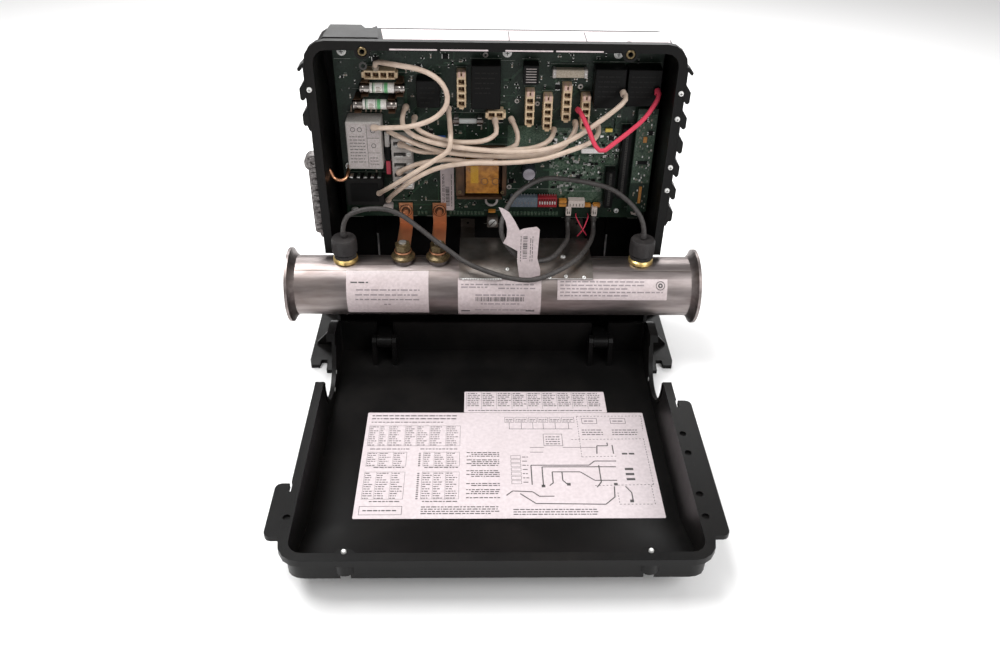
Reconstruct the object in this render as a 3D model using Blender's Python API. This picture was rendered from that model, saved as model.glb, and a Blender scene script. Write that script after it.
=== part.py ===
"""Spa control pack with a flow-through heater: base tray, board, heater tube and hinged lid.

All lengths below are in millimetres from the parting plane; placed() turns them into metres.
+X runs along the heater tube, +Y to the back wall, +Z up. The pack stands on z = 0.
"""
import math

import bmesh
import bpy
from mathutils import Vector

MM = 0.001
FRONT_Y = 113.75     # from the middle of the footprint to the parting plane, where y = 0 below
GAP = 0.3            # clearance between pieces that touch
SEAM = 0.1           # clearance between a foot and the tray above it

# Housing
HALF_X = 152.0       # outside of the side walls
LIP = 4.5            # rim flange beyond the walls
LIP_FROM = 86.0      # the side lip starts beside the heater tube
WALL = 3.0
BASE_LOW = 16.5      # underside of the base tray
BASE_TOP = 308.5
BASE_DEEP = 76.5     # back face of the tray
TOP_FLAT = 50.0      # where the top of the tray starts to slope back
SLOPE_Z = 234.0      # where that slope meets the back face
RIM = 6.0            # thickness of both rim flanges

# Lid, lying open in front of the base
HINGE_Y = -21.0
HINGE_Z = 30.0
HINGE = (0.0, HINGE_Y, HINGE_Z)
HINGE_X = 105.0      # centre of each hinge arm
LID_RIM = 50.6
LID_FAR = -7.5       # outside of the wall beside the hinge
LID_NEAR = -299.5    # outside of the wall beside the viewer
SCREW_X = 108.5
SCREW_REACH = 274.5  # hinge axis to the lid screws

# Heater
TUBE_Y = -6.5
TUBE_Z = 86.0
TUBE_R = 28.0
TUBE_BORE = 26.5
TUBE_HALF = 190.5
FLARE_R = 35.0
CRADLE_R = 31.0      # half-round openings around the tube
TERMINALS = (-83.7, -51.6)
SENSORS = (-137.0, 137.0)
ROD_R = 3.5
CRADLE_IN_LID = (HINGE_Y - (TUBE_Z - HINGE_Z), HINGE_Z + (TUBE_Y - HINGE_Y))

# Circuit board
BOARD_X = (-140.0, 146.0)
BOARD_Z = (131.0, 297.0)
BOARD_Y = 46.0       # component side
BOARD_THICK = 1.6
SEAT = BOARD_Y - GAP  # back of everything that stands on the board
BOARD_SCREWS = ((-132, 137), (-6, 241.5), (138, 137), (-132, 290), (10, 290), (106, 290))

TOOTH_PITCH = 22.3
TOOTH_TOP = 270.6    # height of the highest full tooth
LEVER_COUNT = 7
LEVER_PITCH = 2.4


# ---------------------------------------------------------------- shapes
def box(low, high, bevel=0.0):
    """A block between two corners."""
    bm = bmesh.new()
    bmesh.ops.create_cube(bm, size=1.0)
    size = [high[i] - low[i] for i in range(3)]
    middle = [(high[i] + low[i]) / 2 for i in range(3)]
    bmesh.ops.scale(bm, vec=size, verts=bm.verts)
    bmesh.ops.translate(bm, vec=middle, verts=bm.verts)
    if bevel:
        bmesh.ops.bevel(bm, geom=bm.edges[:], offset=bevel, segments=1, affect='EDGES')
    return bm


def prism(outline, normal, low, high):
    """An outline in the plane across the normal, extruded from low to high."""
    place = {
        'x': lambda a, b, c: (c, a, b),
        'y': lambda a, b, c: (a, c, b),
        'z': lambda a, b, c: (a, b, c),
    }[normal]
    bm = bmesh.new()
    face = bm.faces.new([bm.verts.new(place(a, b, low)) for a, b in outline])
    grown = bmesh.ops.extrude_face_region(bm, geom=[face])
    moved = [item for item in grown['geom'] if isinstance(item, bmesh.types.BMVert)]
    bmesh.ops.translate(bm, vec=place(0, 0, high - low), verts=moved)
    bmesh.ops.recalc_face_normals(bm, faces=bm.faces)
    return bm


def turned(start, axis, profile, sides=24, ring=False):
    """A profile of (radius, distance) turned about an axis; a ring's profile is a closed loop."""
    axis = Vector(axis).normalized()
    side = axis.orthogonal().normalized()
    other = axis.cross(side)
    bm = bmesh.new()
    loops = []
    for radius, reach in profile:
        centre = Vector(start) + axis * reach
        if radius < 1e-6:
            loops.append([bm.verts.new(centre)] * sides)
            continue
        angles = [2 * math.pi * k / sides for k in range(sides)]
        spokes = [side * math.cos(a) + other * math.sin(a) for a in angles]
        loops.append([bm.verts.new(centre + spoke * radius) for spoke in spokes])
    pairs = list(zip(loops, loops[1:]))
    if ring:
        pairs.append((loops[-1], loops[0]))
    for first, second in pairs:
        for k in range(sides):
            n = (k + 1) % sides
            corners = [first[k], first[n], second[n], second[k]]
            bm.faces.new(list(dict.fromkeys(corners)))
    bmesh.ops.recalc_face_normals(bm, faces=bm.faces)
    return bm


def rod(start, end, radius, sides=20):
    axis = Vector(end) - Vector(start)
    return turned(start, axis, [(0, 0), (radius, 0), (radius, axis.length), (0, axis.length)], sides)


def hollow(start, end, outer, inner, sides=24):
    axis = Vector(end) - Vector(start)
    reach = axis.length
    return turned(start, axis, [(inner, 0), (outer, 0), (outer, reach), (inner, reach)], sides, True)


def combine(base, tool, operation):
    """The exact Boolean of two meshes."""
    objects = []
    for shape in (base, tool):
        mesh = bpy.data.meshes.new('scratch')
        shape.to_mesh(mesh)
        shape.free()
        made = bpy.data.objects.new('scratch', mesh)
        bpy.context.scene.collection.objects.link(made)
        objects.append(made)
    step = objects[0].modifiers.new('step', 'BOOLEAN')
    step.operation = operation
    step.solver = 'EXACT'
    step.object = objects[1]
    bpy.context.view_layer.update()
    ready = objects[0].evaluated_get(bpy.context.evaluated_depsgraph_get())
    bm = bmesh.new()
    bm.from_mesh(ready.to_mesh())
    for made in objects:
        mesh = made.data
        bpy.data.objects.remove(made)
        bpy.data.meshes.remove(mesh)
    bmesh.ops.remove_doubles(bm, verts=bm.verts, dist=0.001)
    bmesh.ops.dissolve_degenerate(bm, edges=bm.edges, dist=0.001)
    bmesh.ops.triangulate(bm, faces=bm.faces)
    return bm


def join(base, *tools):
    for tool in tools:
        base = combine(base, tool, 'UNION')
    return base


def cut(base, *tools):
    for tool in tools:
        base = combine(base, tool, 'DIFFERENCE')
    return base


def mirrored(shape):
    bmesh.ops.scale(shape, vec=(-1, 1, 1), verts=shape.verts)
    bmesh.ops.recalc_face_normals(shape, faces=shape.faces)
    return shape


def both_sides(make):
    """The same shape on the right and, mirrored, on the left."""
    return [make(), mirrored(make())]


def rounded(low_a, high_a, low_b, high_b, radii, steps=4):
    """A rectangle with a radius at (low a, low b), (high a, low b), (high a, high b), (low a, high b)."""
    corners = ((low_a, low_b, 180), (high_a, low_b, 270), (high_a, high_b, 0), (low_a, high_b, 90))
    points = []
    for (a, b, start), radius in zip(corners, radii):
        if not radius:
            points.append((a, b))
            continue
        centre_a = a + radius * (1 if a == low_a else -1)
        centre_b = b + radius * (1 if b == low_b else -1)
        for k in range(steps + 1):
            turn = math.radians(start + 90 * k / steps)
            points.append((centre_a + radius * math.cos(turn), centre_b + radius * math.sin(turn)))
    return points


def material(name, colour, rough, metal):
    made = bpy.data.materials.get(name)
    if made:
        return made
    made = bpy.data.materials.new(name)
    made.use_nodes = True
    shader = made.node_tree.nodes['Principled BSDF']
    shader.inputs['Base Color'].default_value = (*colour, 1)
    shader.inputs['Roughness'].default_value = rough
    shader.inputs['Metallic'].default_value = metal
    return made


FINISHES = {
    'black_plastic': ((0.012, 0.012, 0.013), 0.42, 0),
    'black_nylon': ((0.02, 0.02, 0.022), 0.5, 0),
    'steel': ((0.62, 0.61, 0.6), 0.3, 1),
    'zinc': ((0.7, 0.7, 0.68), 0.35, 1),
    'brass': ((0.72, 0.52, 0.2), 0.35, 1),
    'copper': ((0.66, 0.32, 0.18), 0.35, 1),
    'cast_aluminium': ((0.6, 0.6, 0.58), 0.5, 1),
    'board_green': ((0.02, 0.09, 0.05), 0.4, 0),
    'cream_nylon': ((0.78, 0.7, 0.5), 0.5, 0),
    'cream_wire': ((0.8, 0.75, 0.6), 0.5, 0),
    'red_wire': ((0.55, 0.03, 0.07), 0.45, 0),
    'grey_cable': ((0.14, 0.15, 0.15), 0.5, 0),
    'relay_black': ((0.02, 0.02, 0.02), 0.35, 0),
    'relay_white': ((0.75, 0.76, 0.74), 0.45, 0),
    'transformer_steel': ((0.2, 0.16, 0.13), 0.55, 1),
    'yellow_tape': ((0.75, 0.45, 0.07), 0.45, 0),
    'capacitor_sleeve': ((0.05, 0.06, 0.08), 0.35, 0),
    'white_ceramic': ((0.85, 0.85, 0.82), 0.5, 0),
    'glass': ((0.8, 0.82, 0.8), 0.1, 0),
    'beige_plastic': ((0.55, 0.5, 0.4), 0.5, 0),
    'switch_red': ((0.5, 0.03, 0.03), 0.4, 0),
    'switch_white': ((0.85, 0.85, 0.83), 0.4, 0),
    'heater_steel': ((0.6, 0.58, 0.55), 0.32, 1),
    'insulator': ((0.24, 0.2, 0.1), 0.5, 0),
    'bracket_steel': ((0.32, 0.3, 0.27), 0.55, 1),
}


def placed(point):
    """A point of the pack, in metres from the middle of its footprint."""
    return (Vector(point) + Vector((0, FRONT_Y, 0))) * MM


def finish(name, shape, finish_name, smooth=False, pivot=(0, -FRONT_Y, 0)):
    """Make the named object, with its origin on the pivot, from a mesh in millimetres."""
    bmesh.ops.recalc_face_normals(shape, faces=shape.faces)
    bmesh.ops.translate(shape, vec=-Vector(pivot), verts=shape.verts)
    bmesh.ops.scale(shape, vec=(MM, MM, MM), verts=shape.verts)
    mesh = bpy.data.meshes.new(name)
    shape.to_mesh(mesh)
    shape.free()
    if smooth:
        mesh.shade_smooth()
        mesh.set_sharp_from_angle(angle=math.radians(35))
    mesh.materials.append(material(finish_name, *FINISHES[finish_name]))
    made = bpy.data.objects.new(name, mesh)
    made.location = placed(pivot)
    bpy.context.scene.collection.objects.link(made)


# ---------------------------------------------------------------- cords
def smooth_route(points, spacing):
    """Evenly spaced points on a smooth curve through the given ones."""
    knots = [Vector(p) for p in points]
    knots = [knots[0] * 2 - knots[1]] + knots + [knots[-1] * 2 - knots[-2]]
    dense = []
    for i in range(1, len(knots) - 2):
        a, b, c, d = knots[i - 1:i + 3]
        for k in range(12):
            t = k / 12
            dense.append(0.5 * (2 * b + (c - a) * t + (2 * a - 5 * b + 4 * c - d) * t * t
                                + (3 * b - a - 3 * c + d) * t ** 3))
    dense.append(knots[-2])
    total = sum((q - p).length for p, q in zip(dense, dense[1:]))
    count = max(4, round(total / spacing))
    route = [dense[0]]
    walked = 0.0
    for p, q in zip(dense, dense[1:]):
        stretch = (q - p).length
        while len(route) < count and walked + stretch >= total * len(route) / count:
            route.append(p.lerp(q, (total * len(route) / count - walked) / stretch))
        walked += stretch
    route.append(dense[-1])
    return route


def cord(name, points, diameter, finish_name):
    """A round cord as a curve with filled caps."""
    route = smooth_route(points, diameter * 2.5)
    curve = bpy.data.curves.new(name, 'CURVE')
    curve.dimensions = '3D'
    curve.bevel_depth = diameter / 2 * MM
    curve.bevel_resolution = 2
    curve.use_fill_caps = True
    spline = curve.splines.new('POLY')
    spline.points.add(len(route) - 1)
    for point, place in zip(spline.points, route):
        point.co = (*placed(place), 1)
    curve.materials.append(material(finish_name, *FINISHES[finish_name]))
    made = bpy.data.objects.new(name, curve)
    bpy.context.scene.collection.objects.link(made)


JUMPERS = {
    'jumper_1': [(-102.4, 33.5, 279.0), (-100.5, 25, 287.5), (-85.2, 10, 291), (-61.9, 6, 288.0),
                 (-47.2, 4, 280.2), (-40.7, 3, 267.9), (-43.5, 3, 255.8), (-54.8, 3.5, 246),
                 (-72.3, 5, 239.5), (-90.3, 11, 235.5), (-101.4, 15, 233.6), (-107.2, 20.8, 231.3)],
    'jumper_2': [(-78.6, 42, 242.7), (-80.2, 30, 241.9), (-80.1, 16, 236.5), (-72, 9, 230.5),
                 (-57.4, 7, 225.1), (-38.4, 7, 220.8), (-12.3, 7, 217.5), (18.3, 7, 216.1),
                 (47.1, 8, 218.9), (70.3, 12, 227.7), (91, 13, 242.8), (107.4, 16, 255.8),
                 (112.2, 21, 260.8), (110, 28.4, 263.2)],
    'jumper_3': [(-94.8, 36, 222), (-89.9, 22, 225.5), (-80.4, 13.5, 225.0), (-64.9, 12.5, 218.9),
                 (-43.1, 12.5, 212.7), (-12.3, 12.5, 209.4), (18.6, 12.5, 208.9), (45.1, 13, 212),
                 (59.8, 14, 218.4), (67.4, 18, 226), (71, 26, 229.5), (72, 40, 230.5)],
    'jumper_4': [(-85.1, 27.8, 213.1), (-80, 21.5, 214.5), (-67.4, 18, 210.8), (-47.9, 18, 210.1),
                 (-21.3, 18, 211.5), (5.3, 17, 213), (30.1, 18, 214.2), (44, 19, 218.6),
                 (50, 25, 221.5), (52.4, 33, 222.3), (53.4, 42, 222.5)],
    'jumper_5': [(-41.3, 42, 241.5), (-40.8, 30, 242.5), (-39.6, 20, 236.6), (-38.5, 2, 229.4),
                 (-40.7, 0, 219.7), (-54.1, 1, 209.2), (-70.8, 3, 197.2), (-86.2, 12, 183.3),
                 (-100.7, 24, 169.1), (-108.1, 36, 159.9)],
    'jumper_6': [(-100, 42, 149.7), (-95.4, 30, 160), (-84.7, 16, 175.4), (-67.4, 10, 190.4),
                 (-47.5, 7, 200.8), (-21, 6.5, 205.3), (9.8, 6.5, 205.8), (40.5, 6.5, 209.2),
                 (66.5, 8, 217.4), (82, 12, 222.2), (90.2, 22, 225.1), (92.6, 32, 226),
                 (92.8, 42, 226)],
    'jumper_7': [(-87.5, 27.6, 184.8), (-81.1, 22, 191.3), (-65.9, 16, 200.2), (-43.3, 13.5, 205.0),
                 (-21.2, 12.5, 203.7), (-4, 16.6, 205.2), (1.5, 19.6, 207.6), (7, 24.5, 209.2),
                 (19, 26, 214), (20.2, 31, 222.2),
                 (16.7, 36, 229.9), (14, 42, 233.1)],
    'jumper_8': [(-0.3, 33, 235.7), (0.6, 26, 232.9), (0.7, 20, 227), (-10.6, 13, 223.3),
                 (-31.6, 12.5, 222.2), (-50.7, 12.5, 225.6), (-64.5, 13.5, 231.4),
                 (-70.8, 20, 234.9), (-71.3, 30, 234.4), (-71.5, 42, 232.5)],
}
RED_JUMPER = [(72.1, 29, 246.5), (74, 18, 247.3), (79.5, 7, 238.8), (86.2, 0.5, 225.4),
              (92.5, -1, 220.9), (101.7, 1, 226.6), (125.2, 10, 243.2), (136.2, 18, 254.6),
              (140.8, 23, 262.3), (139.8, 28.3, 265.5)]
CABLE_LEFT = [(-137, -6.5, 137.8), (-136.7, -6.5, 146.8), (-132.4, -6, 157.8), (-123.3, -4, 162.4),
              (-110.8, -2, 164.1), (-96.5, -2, 163.3), (-83.1, -4, 158.5), (-69.6, -8, 149.7),
              (-56, -13, 140.3), (-41.5, -18, 131), (-24.1, -27, 122.8), (-2.2, -34, 116.8),
              (16, -37, 113), (34.1, -38, 112.2), (49.5, -34, 114.9), (66, -26, 119.4),
              (80.3, -12, 123.1), (90, 8, 123.7), (95, 26, 122.5), (96.5, 35, 123.5),
              (96.5, 40.5, 128), (96.5, 41.5, 134.8)]
CABLE_RIGHT = [(137, -6.5, 137.8), (136.7, -6.5, 146), (133, -4, 157.8), (124.2, 6, 166.6),
               (107.8, 14, 176.4), (87.7, 18, 181.1), (64.9, 20, 183.8), (46.7, 20, 184.5),
               (33.2, 17, 180.3), (20.5, 10, 174), (12.4, 2, 165.9), (7.1, -8, 157),
               (6.3, -16, 148.2), (11, -22, 139.4), (21, -27, 130.7), (35.5, -27, 125.2),
               (52.2, -20, 124.4), (62, -6, 126.2), (68.5, 10, 125), (71.2, 26, 122.5),
               (71.6, 35, 123.5), (71.6, 40.5, 128), (71.6, 41.5, 134.6)]
ELEMENT = [(-83.7, TUBE_Y, 133), (-83.7, TUBE_Y, 112), (-83.7, TUBE_Y, 100), (-81.5, TUBE_Y, 92),
           (-74, TUBE_Y, 87.5), (-60, TUBE_Y, 87), (100, TUBE_Y, 87), (107.5, TUBE_Y, 89.5),
           (110.5, TUBE_Y, 95), (107.5, TUBE_Y, 100.5), (100, TUBE_Y, 103), (-38, TUBE_Y, 103),
           (-46, TUBE_Y, 104), (-50.4, TUBE_Y, 108.5), (-51.6, TUBE_Y, 115), (-51.6, TUBE_Y, 133)]


# ---------------------------------------------------------------- housing
def base_shell():
    outer = prism([(0, BASE_LOW), (BASE_DEEP, BASE_LOW), (BASE_DEEP, SLOPE_Z),
                   (TOP_FLAT, BASE_TOP), (0, BASE_TOP)], 'x', -HALF_X, HALF_X)
    corners = prism(rounded(-HALF_X, HALF_X, BASE_LOW - 1, BASE_TOP, (0, 0, 14, 14)),
                    'y', -1, BASE_DEEP + 1)
    shell = combine(outer, corners, 'INTERSECT')
    flange = prism(rounded(-HALF_X - LIP, HALF_X + LIP, LIP_FROM, BASE_TOP + LIP, (0, 0, 18, 18)),
                   'y', 0, RIM)
    tongue = box((-HALF_X + 0.5, -2, BASE_LOW), (HALF_X - 0.5, 2, BASE_LOW + WALL))
    shell = join(shell, flange, tongue)
    slope = (SLOPE_Z, BASE_TOP - WALL)
    hollow_room = prism([(-1, BASE_LOW + WALL), (BASE_DEEP - WALL, BASE_LOW + WALL),
                         (BASE_DEEP - WALL, slope[0] - 1), (TOP_FLAT - 2.2, slope[1]),
                         (-1, slope[1])], 'x', -HALF_X + WALL, HALF_X - WALL)
    room_corners = prism(rounded(-HALF_X + WALL, HALF_X - WALL, BASE_LOW, BASE_TOP - WALL,
                                 (0, 0, 11, 11)), 'y', -3, BASE_DEEP)
    shell = cut(shell, combine(hollow_room, room_corners, 'INTERSECT'))

    bosses = both_sides(lambda: rod((SCREW_X, 0.2, HINGE_Z + SCREW_REACH),
                                    (SCREW_X, 14, HINGE_Z + SCREW_REACH), 6.5, 16))
    arms = []
    for centre in (-HINGE_X, HINGE_X):
        arms.append(prism([(HINGE_Y, 24.5), (-1.8, 24.5), (-1.8, 17.5), (12, 17.5), (12, 26),
                           (-4, 35.5), (HINGE_Y, 35.5)], 'x', centre - 7, centre + 7))
        arms.append(rod((centre - 7, HINGE_Y, HINGE_Z), (centre + 7, HINGE_Y, HINGE_Z), 6, 20))
    linings = both_sides(lambda: lining())
    ribs = [box((x - 1, BASE_DEEP - WALL - 4, BASE_LOW + 1), (x + 1, BASE_DEEP - WALL + 1, 124))
            for x in (-115.5, 115.5)]
    shell = join(shell, *bosses, *arms, *linings, *ribs)

    openings = [rod((-HALF_X - 9, TUBE_Y, TUBE_Z), (HALF_X + 9, TUBE_Y, TUBE_Z), CRADLE_R, 40)]
    openings += [rod((x, -1, HINGE_Z + SCREW_REACH), (x, 10, HINGE_Z + SCREW_REACH), 4.3, 16)
                 for x in (-SCREW_X, SCREW_X)]
    openings.append(rod((-HINGE_X - 9, HINGE_Y, HINGE_Z), (HINGE_X + 9, HINGE_Y, HINGE_Z), 2.4, 16))
    openings.append(rod((-HALF_X - 2, 28, 188.5), (-HALF_X + 6, 28, 188.5), 2.6, 12))
    for start in (-88, -42, 4, 50):
        openings.append(box((start, 10, BASE_TOP - 6), (start + 38, 12.5, BASE_TOP + 2)))
    for side, z in clamp_screw_places():
        openings.append(rod((side * 154, -1, z), (side * 154, RIM + 1, z), 1.7, 10))
    shell = cut(shell, *openings)
    finish('base_shell', shell, 'black_plastic')


def mount_foot(side, name):
    """A slotted foot flange under a side wall, with its skirt and two gussets."""
    skirt = box((HALF_X - WALL, 0.5, 0), (HALF_X, BASE_DEEP, BASE_LOW + 5))
    flange = prism([(HALF_X - 2, 0.5), (154, 0.5), (154, -33), (162, -33), (163, -17), (169, -17),
                    (170, -25), (178, -25), (180, -17), (180, BASE_DEEP), (HALF_X - 2, BASE_DEEP)],
                   'z', 0, 4)
    gussets = [prism([(HALF_X - 1, 2), (177, 2), (177, 6), (HALF_X - 1, 34)], 'y', y, y + WALL)
               for y in (9.0, 64.0)]
    foot = join(skirt, flange, *gussets)
    foot = cut(foot, box((0, -40, BASE_LOW - SEAM), (HALF_X + SEAM, BASE_DEEP + 10, 60)))
    if side < 0:
        foot = mirrored(foot)
    finish(name, foot, 'black_plastic')


def lining():
    """The collar round the base's half of a tube opening."""
    ring = rod((HALF_X - 4, TUBE_Y, TUBE_Z), (HALF_X - 1, TUBE_Y, TUBE_Z), CRADLE_R + WALL, 40)
    return cut(ring, box((HALF_X - 12, -60, 0), (HALF_X + 1, 0.4, 200)))


def clamp_screw_places():
    """Side and height of each screw that holds a cord clamp strip."""
    heights = {1: (0, 1, 3, 4), -1: (0,)}
    return [(side, TOOTH_TOP + 2 - TOOTH_PITCH * k) for side in (1, -1) for k in heights[side]]


def cord_clamp(name, side, teeth):
    """A strip of hooked teeth on the outside of the rim, with a leg behind the flange."""
    inner = HALF_X + LIP + GAP
    low = TOOTH_TOP - TOOTH_PITCH * (teeth - 1) - 12
    root = inner + 0.9
    outline = [(inner, low), (inner, 294.5), (root, 294.5), (162.3, 289.8), (161.9, 287.8),
               (160.2, 287.8), (root, 290.8)]
    for k in range(teeth):
        z = TOOTH_TOP - TOOTH_PITCH * k
        outline += [(root, z + 9), (162.4, z + 2.5), (162.4, z - 6), (161.2, z - 7.6),
                    (159.4, z - 7.4), (root, z - 5.2)]
    outline[-1] = (root, low)
    strip = prism(outline, 'y', 0.6, 15)
    leg = box((HALF_X + GAP, RIM + GAP, low), (inner + 1, 15, 284))
    strip = join(strip, leg)
    for where, z in clamp_screw_places():
        if where == side:
            strip = cut(strip, rod((154, RIM - 1, z), (154, 13, z), 1.7, 10))
    if side < 0:
        strip = mirrored(strip)
    finish(name, strip, 'black_plastic')


def lid_section(inset, floor):
    """The lid's side view; inset and floor give the inside."""
    drop = inset * 1.03
    top = LID_RIM + floor
    return [(LID_FAR - inset, top), (LID_FAR - inset, 8 + drop), (-40 - inset * 0.3, inset),
            (-225 + inset * 0.2, inset), (LID_NEAR + inset, 26.5 + drop), (LID_NEAR + inset, top)]


def lid_shell():
    outer = prism(lid_section(0, 0), 'x', -HALF_X, HALF_X)
    corners = prism(rounded(-HALF_X, HALF_X, LID_NEAR, LID_FAR, (14, 14, 4, 4)), 'z', -1, LID_RIM + 1)
    shell = combine(outer, corners, 'INTERSECT')
    flange = prism(rounded(-HALF_X - LIP, HALF_X + LIP, LID_NEAR - LIP, LID_FAR, (18, 18, 0, 0)),
                   'z', LID_RIM - RIM, LID_RIM)
    shell = join(shell, flange, *both_sides(lid_lining))
    room = prism(lid_section(WALL, 2), 'x', -HALF_X + WALL, HALF_X - WALL)
    room_corners = prism(rounded(-HALF_X + WALL, HALF_X - WALL, LID_NEAR + WALL, LID_FAR - WALL,
                                 (11, 11, 2, 2)), 'z', -1, LID_RIM + 3)
    room = cut(combine(room, room_corners, 'INTERSECT'), *both_sides(lid_lining))
    shell = cut(shell, room)

    wing_z = (LID_RIM - 4.6, LID_RIM - 0.05)
    wings = [prism(rounded(154, 168.5, -282, -132.5, (0, 5, 5, 0), 3), 'z', *wing_z),
             prism(rounded(-168, -154, -282, -229.5, (5, 0, 0, 5), 3), 'z', *wing_z)]
    bosses = both_sides(lambda: rod((SCREW_X, lid_y(SCREW_REACH), 33), (SCREW_X, lid_y(SCREW_REACH), 46),
                                    7.5, 18))
    ears = []
    for centre in (-HINGE_X, HINGE_X):
        for low in (centre - 11.5, centre + 7.5):
            ears.append(prism([(-29, 4.2), (-13, 8.2), (-15, 33), (-18, 36), (-24, 36), (-27, 33)],
                              'x', low, low + 4))
    pins = [rod((x - 9, HINGE_Y, HINGE_Z), (x + 9, HINGE_Y, HINGE_Z), 2.0, 14)
            for x in (-HINGE_X, HINGE_X)]
    shell = join(shell, *wings, *bosses, *ears, *pins)

    cuts = both_sides(lambda: prism(cutout_outline(), 'x', HALF_X - 12, HALF_X + LIP + 3))
    cuts += both_sides(lambda: prism([(HINGE_Y + 0.5, LID_RIM + 1), (LID_FAR + 1, 44.6),
                                      (LID_FAR + 1, LID_RIM + 1)], 'x', -1, HALF_X + LIP + 1))
    cuts.append(box((-HALF_X + WALL, LID_FAR - WALL - 1, 45), (HALF_X - WALL, LID_FAR + 1, LID_RIM + 1)))
    for centre in (-HINGE_X, HINGE_X):
        cuts.append(box((centre - 8, LID_FAR - WALL - 1, 20), (centre + 8, LID_FAR + 1, LID_RIM + 1)))
    for side in (-SCREW_X, SCREW_X):
        place = (side, lid_y(SCREW_REACH))
        cuts.append(rod((*place, -1), (*place, 36), 5.5, 18))
        cuts.append(rod((*place, 30), (*place, LID_RIM + 1), 2.4, 12))
    for side, z in clamp_screw_places():
        place = (side * 154, lid_y(z - HINGE_Z))
        cuts.append(rod((*place, LID_RIM - 2.2), (*place, LID_RIM + 1), 2.9, 12))
    cuts.append(box((155.5, -141, LID_RIM - 7), (157.5, -131, LID_RIM + 1)))
    cuts.append(box((-157.5, -238, LID_RIM - 7), (-155.5, -228, LID_RIM + 1)))
    shell = cut(shell, *cuts)
    finish('lid_shell', shell, 'black_plastic', pivot=HINGE)


def lid_lining():
    """The collar round the lid's half of a tube opening."""
    ring = rod((HALF_X - 4, *CRADLE_IN_LID), (HALF_X - 1, *CRADLE_IN_LID), CRADLE_R + WALL, 40)
    return cut(ring, box((HALF_X - 12, -200, LID_RIM - 0.6), (HALF_X + 1, 0, 200)))


def lid_y(reach):
    """Y, on the open lid, of what lies this far from the hinge axis."""
    return HINGE_Y - reach


def cutout_outline():
    """The tube opening in a side wall of the lid, flared towards the hinge for the swing."""
    centre_y, centre_z = CRADLE_IN_LID
    arc = [math.radians(180 + 160 * k / 22) for k in range(23)]
    points = [(centre_y - CRADLE_R, LID_RIM + 1)]
    points += [(centre_y + CRADLE_R * math.cos(a), centre_z + CRADLE_R * math.sin(a)) for a in arc]
    points.append((HINGE_Y - 16.5, LID_RIM + 1))
    return points


def lid_screws():
    y = lid_y(SCREW_REACH)
    for side, x in (('left', -SCREW_X), ('right', SCREW_X)):
        profile = [(0, 29.5), (4.2, 29.5), (4.6, 30), (4.6, 35.4), (1.9, 35.4), (1.9, 51), (1.3, 52),
                   (0, 52)]
        finish(f'lid_screw_{side}', turned((x, y, 0), (0, 0, 1), profile, 14), 'zinc', True, HINGE)


def bonding_bar():
    """A cast lug bar with a blind screw hole for each bonding wire and one bore through its saddle."""
    bar = prism(rounded(-165.8, -152.4, 130, 200, (3, 3, 0, 0), 3), 'y', 14, 24)
    lug = prism(rounded(-168.6, -152.4, 194, 208, (5, 0, 4, 6), 3), 'y', 13, 24)
    bar = join(bar, lug)
    holes = [rod((-160, 12, 136 + 11.4 * k), (-160, 21, 136 + 11.4 * k), 2.2, 12) for k in range(6)]
    saddle = box((-160, 20, 184), (-152.9, 32, 193))
    bore = rod((-161, 28, 188.5), (-151, 28, 188.5), 1.9, 12)
    finish('bonding_bar', cut(join(cut(bar, *holes), saddle), bore), 'cast_aluminium')


# ---------------------------------------------------------------- circuit board
def on_board(x, z, front, bevel=0.5):
    """A block on the board: x and z spans, and the y of its front face."""
    return box((x[0], front, z[0]), (x[1], SEAT, z[1]), bevel)


def socket(x, z, columns, rows, latch=0.0, front=34.0):
    """A nylon socket with a cavity for each contact, below the height its latch takes."""
    body = on_board(x, z, front, 0.4)
    wide = (x[1] - x[0]) / columns
    high = (z[1] - latch - z[0]) / rows
    cells = []
    for column in range(columns):
        for row in range(rows):
            a = x[0] + wide * (column + 0.5)
            b = z[0] + high * (row + 0.5)
            cells.append(box((a - 2.6, front - 1, b - 2.3), (a + 2.6, front + 8, b + 2.3)))
    return cut(body, *cells)


def circuit_board():
    board = box((BOARD_X[0], BOARD_Y, BOARD_Z[0]), (BOARD_X[1], BOARD_Y + BOARD_THICK, BOARD_Z[1]))
    holes = [rod((x, BOARD_Y - 1, z), (x, BOARD_Y + 3, z), 1.8, 12) for x, z in BOARD_SCREWS]
    holes += [rod((x, BOARD_Y - 1, 138), (x, BOARD_Y + 3, 138), 2.3, 12) for x in TERMINALS]
    finish('circuit_board', cut(board, *holes), 'board_green')


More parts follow.
